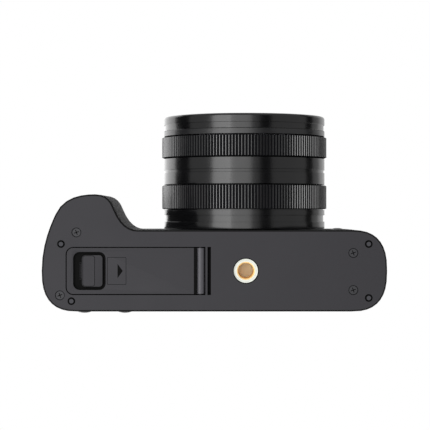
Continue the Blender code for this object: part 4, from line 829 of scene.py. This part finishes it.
# %% Lamp, buttons and control wheel
low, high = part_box("focus_lamp")
lamp_r = (high.x - low.x) / 2
lamp_place = Vector(((low.x + high.x) / 2, FRONT, (low.z + high.z) / 2))
lens_face = [(0, -3.0 * MM), (lamp_r, -3.0 * MM), (lamp_r, -0.1 * MM)] + ball_face(lamp_r, 0, 0.4 * MM, 8)
finished("lamp_lens", lathe(lens_face, lamp_place, FORWARD, 40, solid=True), LAMP_GLASS, "root",
         ["focus_lamp"])
lamp_bed = [(0, -3.25 * MM), (lamp_r, -3.25 * MM), (lamp_r, -3.05 * MM), (0, -3.05 * MM)]
finished("lamp_reflector", lathe(lamp_bed, lamp_place, FORWARD, 40, solid=True), SILVER, "root")


def pushed(node, name, material, crown, edge=0.25 * MM):
    """A round button as wide and long as its mechanical node, with an eased edge and a domed crown."""
    low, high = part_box(node)
    middle = (low + high) / 2
    radius, tall = (high.x - low.x) / 2, high.y - low.y
    place = Vector((middle.x, low.y, middle.z))
    side = tall - crown - edge
    profile = [(0, 0), (radius, 0), (radius, side), (radius - edge * 0.3, side + edge * 0.7)]
    profile += ball_face(radius - edge, tall - crown, crown, 8)
    finished(name, lathe(profile, place, BACKWARD, 48, solid=True), material, body_of[node],
             [node])


for node in ("lower_button_outer", "lower_button_inner", "upper_button_outer", "upper_button_inner"):
    pushed(node, node + "_domed", BUTTON_PLASTIC, 0.6 * MM)
pushed("set_button", "set_button_domed", BUTTON_PLASTIC, 0.3 * MM)

low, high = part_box("control_wheel")
wheel_place = Vector(((low.x + high.x) / 2, low.y, (low.z + high.z) / 2))
wheel_r, tall, TICKS = (high.x - low.x) / 2, high.y - low.y, 60


def ticks(step, radius, along):
    """Shallow notches round the wheel's outer shoulder."""
    return 0.22 * MM if step % 4 < 2 and radius > wheel_r - 0.2 * MM and along > 1.5 * MM else 0


wheel = [(4.45 * MM, 0), (wheel_r, 0), (wheel_r, tall - 0.6 * MM), (wheel_r - 0.15 * MM, tall - 0.25 * MM),
         (wheel_r - 0.6 * MM, tall), (7.4 * MM, tall - 0.1 * MM), (6.6 * MM, tall - 0.35 * MM),
         (5.2 * MM, tall - 0.35 * MM), (4.7 * MM, tall - 0.1 * MM), (4.45 * MM, tall - 0.3 * MM)]
finished("control_wheel_ticked", lathe(wheel, wheel_place, BACKWARD, TICKS * 4, dip=ticks), BUTTON_PLASTIC,
         "control_wheel", ["control_wheel"], sharp=28)

# %% [markdown]
# ## The deck
#
# The release button has a shallow dish for the fingertip and a tapped hole for a cable. The power
# lever is a ring round it with a tab. The two dials have a straight knurl and numbers filled with
# white. The numbers are the usual steps of shutter time and of exposure, which double or halve.

# %% Release, lever and dials
low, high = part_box("shutter_button")
release_place = Vector(((low.x + high.x) / 2, (low.y + high.y) / 2, DECK))
release_r, tip, foot = (high.x - low.x) / 2, high.z - DECK, low.z - DECK
cap, stem_r, hole_r = 1.3 * MM, 1.5 * MM, 0.75 * MM
release = [(0, foot), (stem_r, foot), (stem_r, cap), (release_r - 0.2 * MM, cap), (release_r, cap + 0.2 * MM),
           (release_r, tip - 0.45 * MM), (release_r - 0.15 * MM, tip - 0.12 * MM), (release_r - 0.5 * MM, tip),
           (2.2 * MM, tip - 0.12 * MM), (1.3 * MM, tip - 0.3 * MM), (hole_r + 0.15 * MM, tip - 0.34 * MM),
           (hole_r, tip - 0.5 * MM), (hole_r * 0.9, tip - 1.4 * MM), (0, tip - 1.4 * MM)]
finished("release_button", lathe(release, release_place, UP, 64, solid=True), SILVER, "shutter",
         ["shutter_button"], sharp=40)
softened("power_lever", PLATE_PAINT, 0.15 * MM)


def dial(node, name, teeth):
    """A knurled dial with a dished face, as wide and tall as its mechanical node."""
    low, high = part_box(node)
    place = Vector(((low.x + high.x) / 2, (low.y + high.y) / 2, DECK))
    radius, tip, foot = (high.x - low.x) / 2, high.z - DECK, low.z - DECK

    def grooves(step, r, along):
        """Two of a tooth's four steps are cut in, on the lands only."""
        return 0.25 * MM if step % 4 < 2 and r > radius - 0.05 * MM else 0

    profile = [(0, foot), (stem_r, foot), (stem_r, 0.3 * MM), (radius - 0.4 * MM, 0.3 * MM),
               (radius, 0.55 * MM),
               (radius, tip - 0.3 * MM), (radius - 0.4 * MM, tip), (radius - 1.2 * MM, tip),
               (radius - 1.3 * MM, tip - 0.08 * MM), (0, tip - 0.08 * MM)]
    finished(name, lathe(profile, place, UP, teeth * 4, dip=grooves, solid=True), PLATE_PAINT, node,
             [node], sharp=28)
    return place, radius, tip


speed_place, speed_r, speed_tip = dial("speed_dial", "speed_dial_knurled", 72)
bias_place, bias_r, bias_tip = dial("exposure_dial", "exposure_dial_knurled", 48)

# %% [markdown]
# Numbers are type set flat, then laid in place. On a dial each stands on its own ray from the centre.
# On a lens ring the flat type is bent round the ring: the distance along the line becomes an angle.


# %% Type set on dials and rings
def type_mesh(name, text, size):
    """A thin mesh of centred type, lying in X and Y, with a height of 1 for its front face."""
    curve = bpy.data.curves.new(name, 'FONT')
    curve.body, curve.size, curve.align_x, curve.align_y = text, size, 'CENTER', 'CENTER'
    curve.extrude, curve.resolution_u = 0.5, 3
    holder = bpy.data.objects.new(name, curve)
    bpy.context.scene.collection.objects.link(holder)
    mesh = bpy.data.meshes.new_from_object(holder.evaluated_get(bpy.context.evaluated_depsgraph_get()))
    bpy.data.objects.remove(holder)
    return mesh


def set_type(name, text, size, place, material, body):
    """Type whose every point (x, y, 0 or 1) is put in the frame by place."""
    bm = bmesh.new()
    bm.from_mesh(type_mesh(name, text, size))
    for vert in bm.verts:
        vert.co = place(vert.co.x, vert.co.y, 1.0 if vert.co.z > 0 else 0.0)
    return finished(name, bm, material, body)


def dial_figures(node, texts, place, ring_r, tip, size, step):
    """Figures round a dial's face; the middle one, or the first of a full turn, faces the front."""
    full_turn = abs(step * len(texts) - math.tau) < 0.01
    for k, text in enumerate(texts):
        turn = step * (k if full_turn else k - (len(texts) - 1) / 2)
        inward = Vector((-math.sin(turn), math.cos(turn), 0))
        along = Vector((math.cos(turn), math.sin(turn), 0))

        def lay(x, y, h):
            return place + (y - ring_r) * inward + x * along + (tip + (h - 0.5) * PRINT) * UP

        set_type(f"{node}_figure_{k + 1}", text, size, lay, WHITE_MARK, node)


SPEEDS = ("A", "1", "2", "4", "8", "15", "30", "60", "125", "250", "500")
dial_figures("speed_dial", SPEEDS, speed_place, speed_r - 2.5 * MM, speed_tip - 0.08 * MM, 1.75 * MM,
             math.tau / len(SPEEDS))
BIASES = ("-3", "-2", "-1", "0", "1", "2", "3")
dial_figures("exposure_dial", BIASES, bias_place, bias_r - 2.2 * MM, bias_tip - 0.08 * MM, 1.5 * MM,
             math.radians(32))
index_line = oblong((speed_place.x, speed_place.y - speed_r - 1.3 * MM), 0.25 * MM, 1.4 * MM)
finished("speed_index", slab(index_line, 0, PRINT, on_top), WHITE_MARK, "root")
index_line = oblong((bias_place.x, bias_place.y - bias_r - 1.1 * MM), 0.25 * MM, 1.2 * MM)
finished("exposure_index", slab(index_line, 0, PRINT, on_top), WHITE_MARK, "root")

# %% [markdown]
# ## Scales on the lens
#
# The top of the lens carries its scales: distances on a line forward of the front ring, and aperture
# steps on a line between the rings, with a red dot as the index. Each aperture step halves the light.


# %% Lens scales
def on_barrel(radius, forward, degrees):
    """Place for type on the lens: degrees are measured from the top, and type stands upright from above."""
    def lay(x, y, h):
        turn = math.radians(degrees) + x / radius
        r = radius + (h - 0.5) * PRINT
        return LENS + Vector((r * math.sin(turn), -(forward - y), r * math.cos(turn)))
    return lay


back, front, middle_r, _ = span("middle_barrel")
for k, text in enumerate(("2", "2.8", "4", "5.6", "8", "11", "16")):
    set_type(f"aperture_figure_{k + 1}", text, 2.2 * MM, on_barrel(middle_r, back + 2.2 * MM, (k - 3) * 11.5),
             WHITE_MARK, "root")
for k, text in enumerate(("0.3", "0.5", "0.7", "1", "2", "5")):
    set_type(f"distance_figure_{k + 1}", text, 2.0 * MM, on_barrel(middle_r, front - 2.0 * MM, (k - 2.5) * 12),
             WHITE_MARK, "root")
dot = [(0, 0), (0.55 * MM, 0), (0.5 * MM, 0.05 * MM), (0, 0.05 * MM)]
dot_place = LENS + Vector((0, -(3.9 * MM + 2.2 * MM), step_r - 0.02 * MM))
finished("index_dot", lathe(dot, dot_place, UP, 24, solid=True), RED_MARK, "root")

# %% [markdown]
# ## The studio
#
# A pale floor lies just under the pads. It is drawn for eyes above it: seen from beneath it is clear,
# and it doesn't block the light from below. The world is a soft white tent. A wide softbox below and a
# little to the left gives the lens its long grey highlight. Long black cards, which only mirrors see,
# stand beside the lens: they cut the dark streaks that make polished black metal look round.

# %% Floor and tent
floor_material, tree, shader = new_finish("studio_paper", Roughness=0.9, Specular_IOR_Level=0.1)
place = add(tree, "TexCoord")
fibre = add(tree, "TexNoise", {"Vector": place.outputs["Object"], "Scale": per(3.0), "Detail": 5.0})
tone = add(tree, "MixRGB", {"Fac": fibre.outputs["Fac"], "Color1": light_of("#f2f1ee"),
                            "Color2": light_of("#eceae7")})
tree.links.new(tone.outputs["Color"], shader.inputs["Base Color"])
side = add(tree, "NewGeometry")
clear = add(tree, "BsdfTransparent")
either = add(tree, "MixShader", {0: side.outputs["Backfacing"], 1: shader.outputs[0], 2: clear.outputs[0]})
tree.links.new(either.outputs[0], tree.nodes["Material Output"].inputs["Surface"])
FLOOR_HALF, FLOOR_DROP = 3.0, 0.05 * MM
sheet = bmesh.new()
sheet.faces.new([sheet.verts.new((x, y, -FLOOR_DROP))
                 for x, y in oblong((0, 0), 2 * FLOOR_HALF, 2 * FLOOR_HALF)])
floor_mesh = bpy.data.meshes.new("floor")
sheet.to_mesh(floor_mesh)
sheet.free()
floor_mesh.materials.append(floor_material)
floor = bpy.data.objects.new("floor", floor_mesh)
bpy.context.scene.collection.objects.link(floor)
floor.visible_diffuse = floor.visible_glossy = floor.visible_transmission = floor.visible_shadow = False

TENT_FOR_EYES, TENT_FOR_PIECES = 1.0, 0.42
world = bpy.data.worlds.new("tent")
bpy.context.scene.world = world
world.use_nodes = True
tree = world.node_tree
seen = add(tree, "LightPath")
level = add(tree, "MapRange", {"Value": seen.outputs["Is Camera Ray"], "To Min": TENT_FOR_PIECES,
                               "To Max": TENT_FOR_EYES})
tree.links.new(level.outputs["Result"], tree.nodes["Background"].inputs["Strength"])
tree.nodes["Background"].inputs["Color"].default_value = (1, 1, 1, 1)


# %% Softboxes and cards
def around_lens(degrees, distance, forward=15 * MM):
    """A point beside the lens. Degrees turn from straight down towards +X."""
    turn = math.radians(degrees)
    return LENS + Vector((distance * math.sin(turn), -forward, -distance * math.cos(turn)))


def softbox(name, place, target, width, length, radiance):
    """An area light that faces a point, long along the lens; its power follows from its face's brightness."""
    light = bpy.data.lights.new(name, 'AREA')
    light.shape, light.size, light.size_y = 'RECTANGLE', width, length
    light.energy = radiance * math.pi * width * length
    box = bpy.data.objects.new(name, light)
    box.location = place
    facing = (place - target).normalized()
    across = BACKWARD.cross(facing).normalized()
    box.rotation_euler = Matrix((across, facing.cross(across), facing)).transposed().to_euler()
    box.visible_camera = False
    bpy.context.scene.collection.objects.link(box)
    return box


softbox("soft_below", around_lens(-7, 0.7), LENS, 0.4, 1.2, 1.35)
softbox("soft_below_strip", around_lens(-33, 0.65), LENS, 0.3, 1.2, 2.6)
softbox("soft_high_left", around_lens(-145, 0.8), LENS, 0.9, 1.2, 1.3)
softbox("soft_high_right", around_lens(150, 0.9), LENS, 0.6, 1.2, 0.4)

CARD_BLACK, tree, shader = new_finish("studio_card", Base_Color=(0.01, 0.01, 0.01, 1.0), Roughness=1.0,
                                      Specular_IOR_Level=0.0)
CARDS = ((-112, -82), (20, 36), (94, 109))     # degrees round the lens that each card covers
CARD_DISTANCE, CARD_REACH = 0.3, 0.25
for number, (first, last) in enumerate(CARDS, 1):
    steps = 12
    sheet = bmesh.new()
    rows = [[sheet.verts.new(around_lens(first + (last - first) * k / steps, CARD_DISTANCE, forward))
             for forward in (-CARD_REACH, CARD_REACH)] for k in range(steps + 1)]
    for near, far in zip(rows, rows[1:]):
        sheet.faces.new((near[0], near[1], far[1], far[0]))
    mesh = bpy.data.meshes.new(f"card_{number}")
    sheet.to_mesh(mesh)
    sheet.free()
    mesh.materials.append(CARD_BLACK)
    card = bpy.data.objects.new(f"card_{number}", mesh)
    bpy.context.scene.collection.objects.link(card)
    card.visible_camera = card.visible_diffuse = card.visible_transmission = card.visible_shadow = False
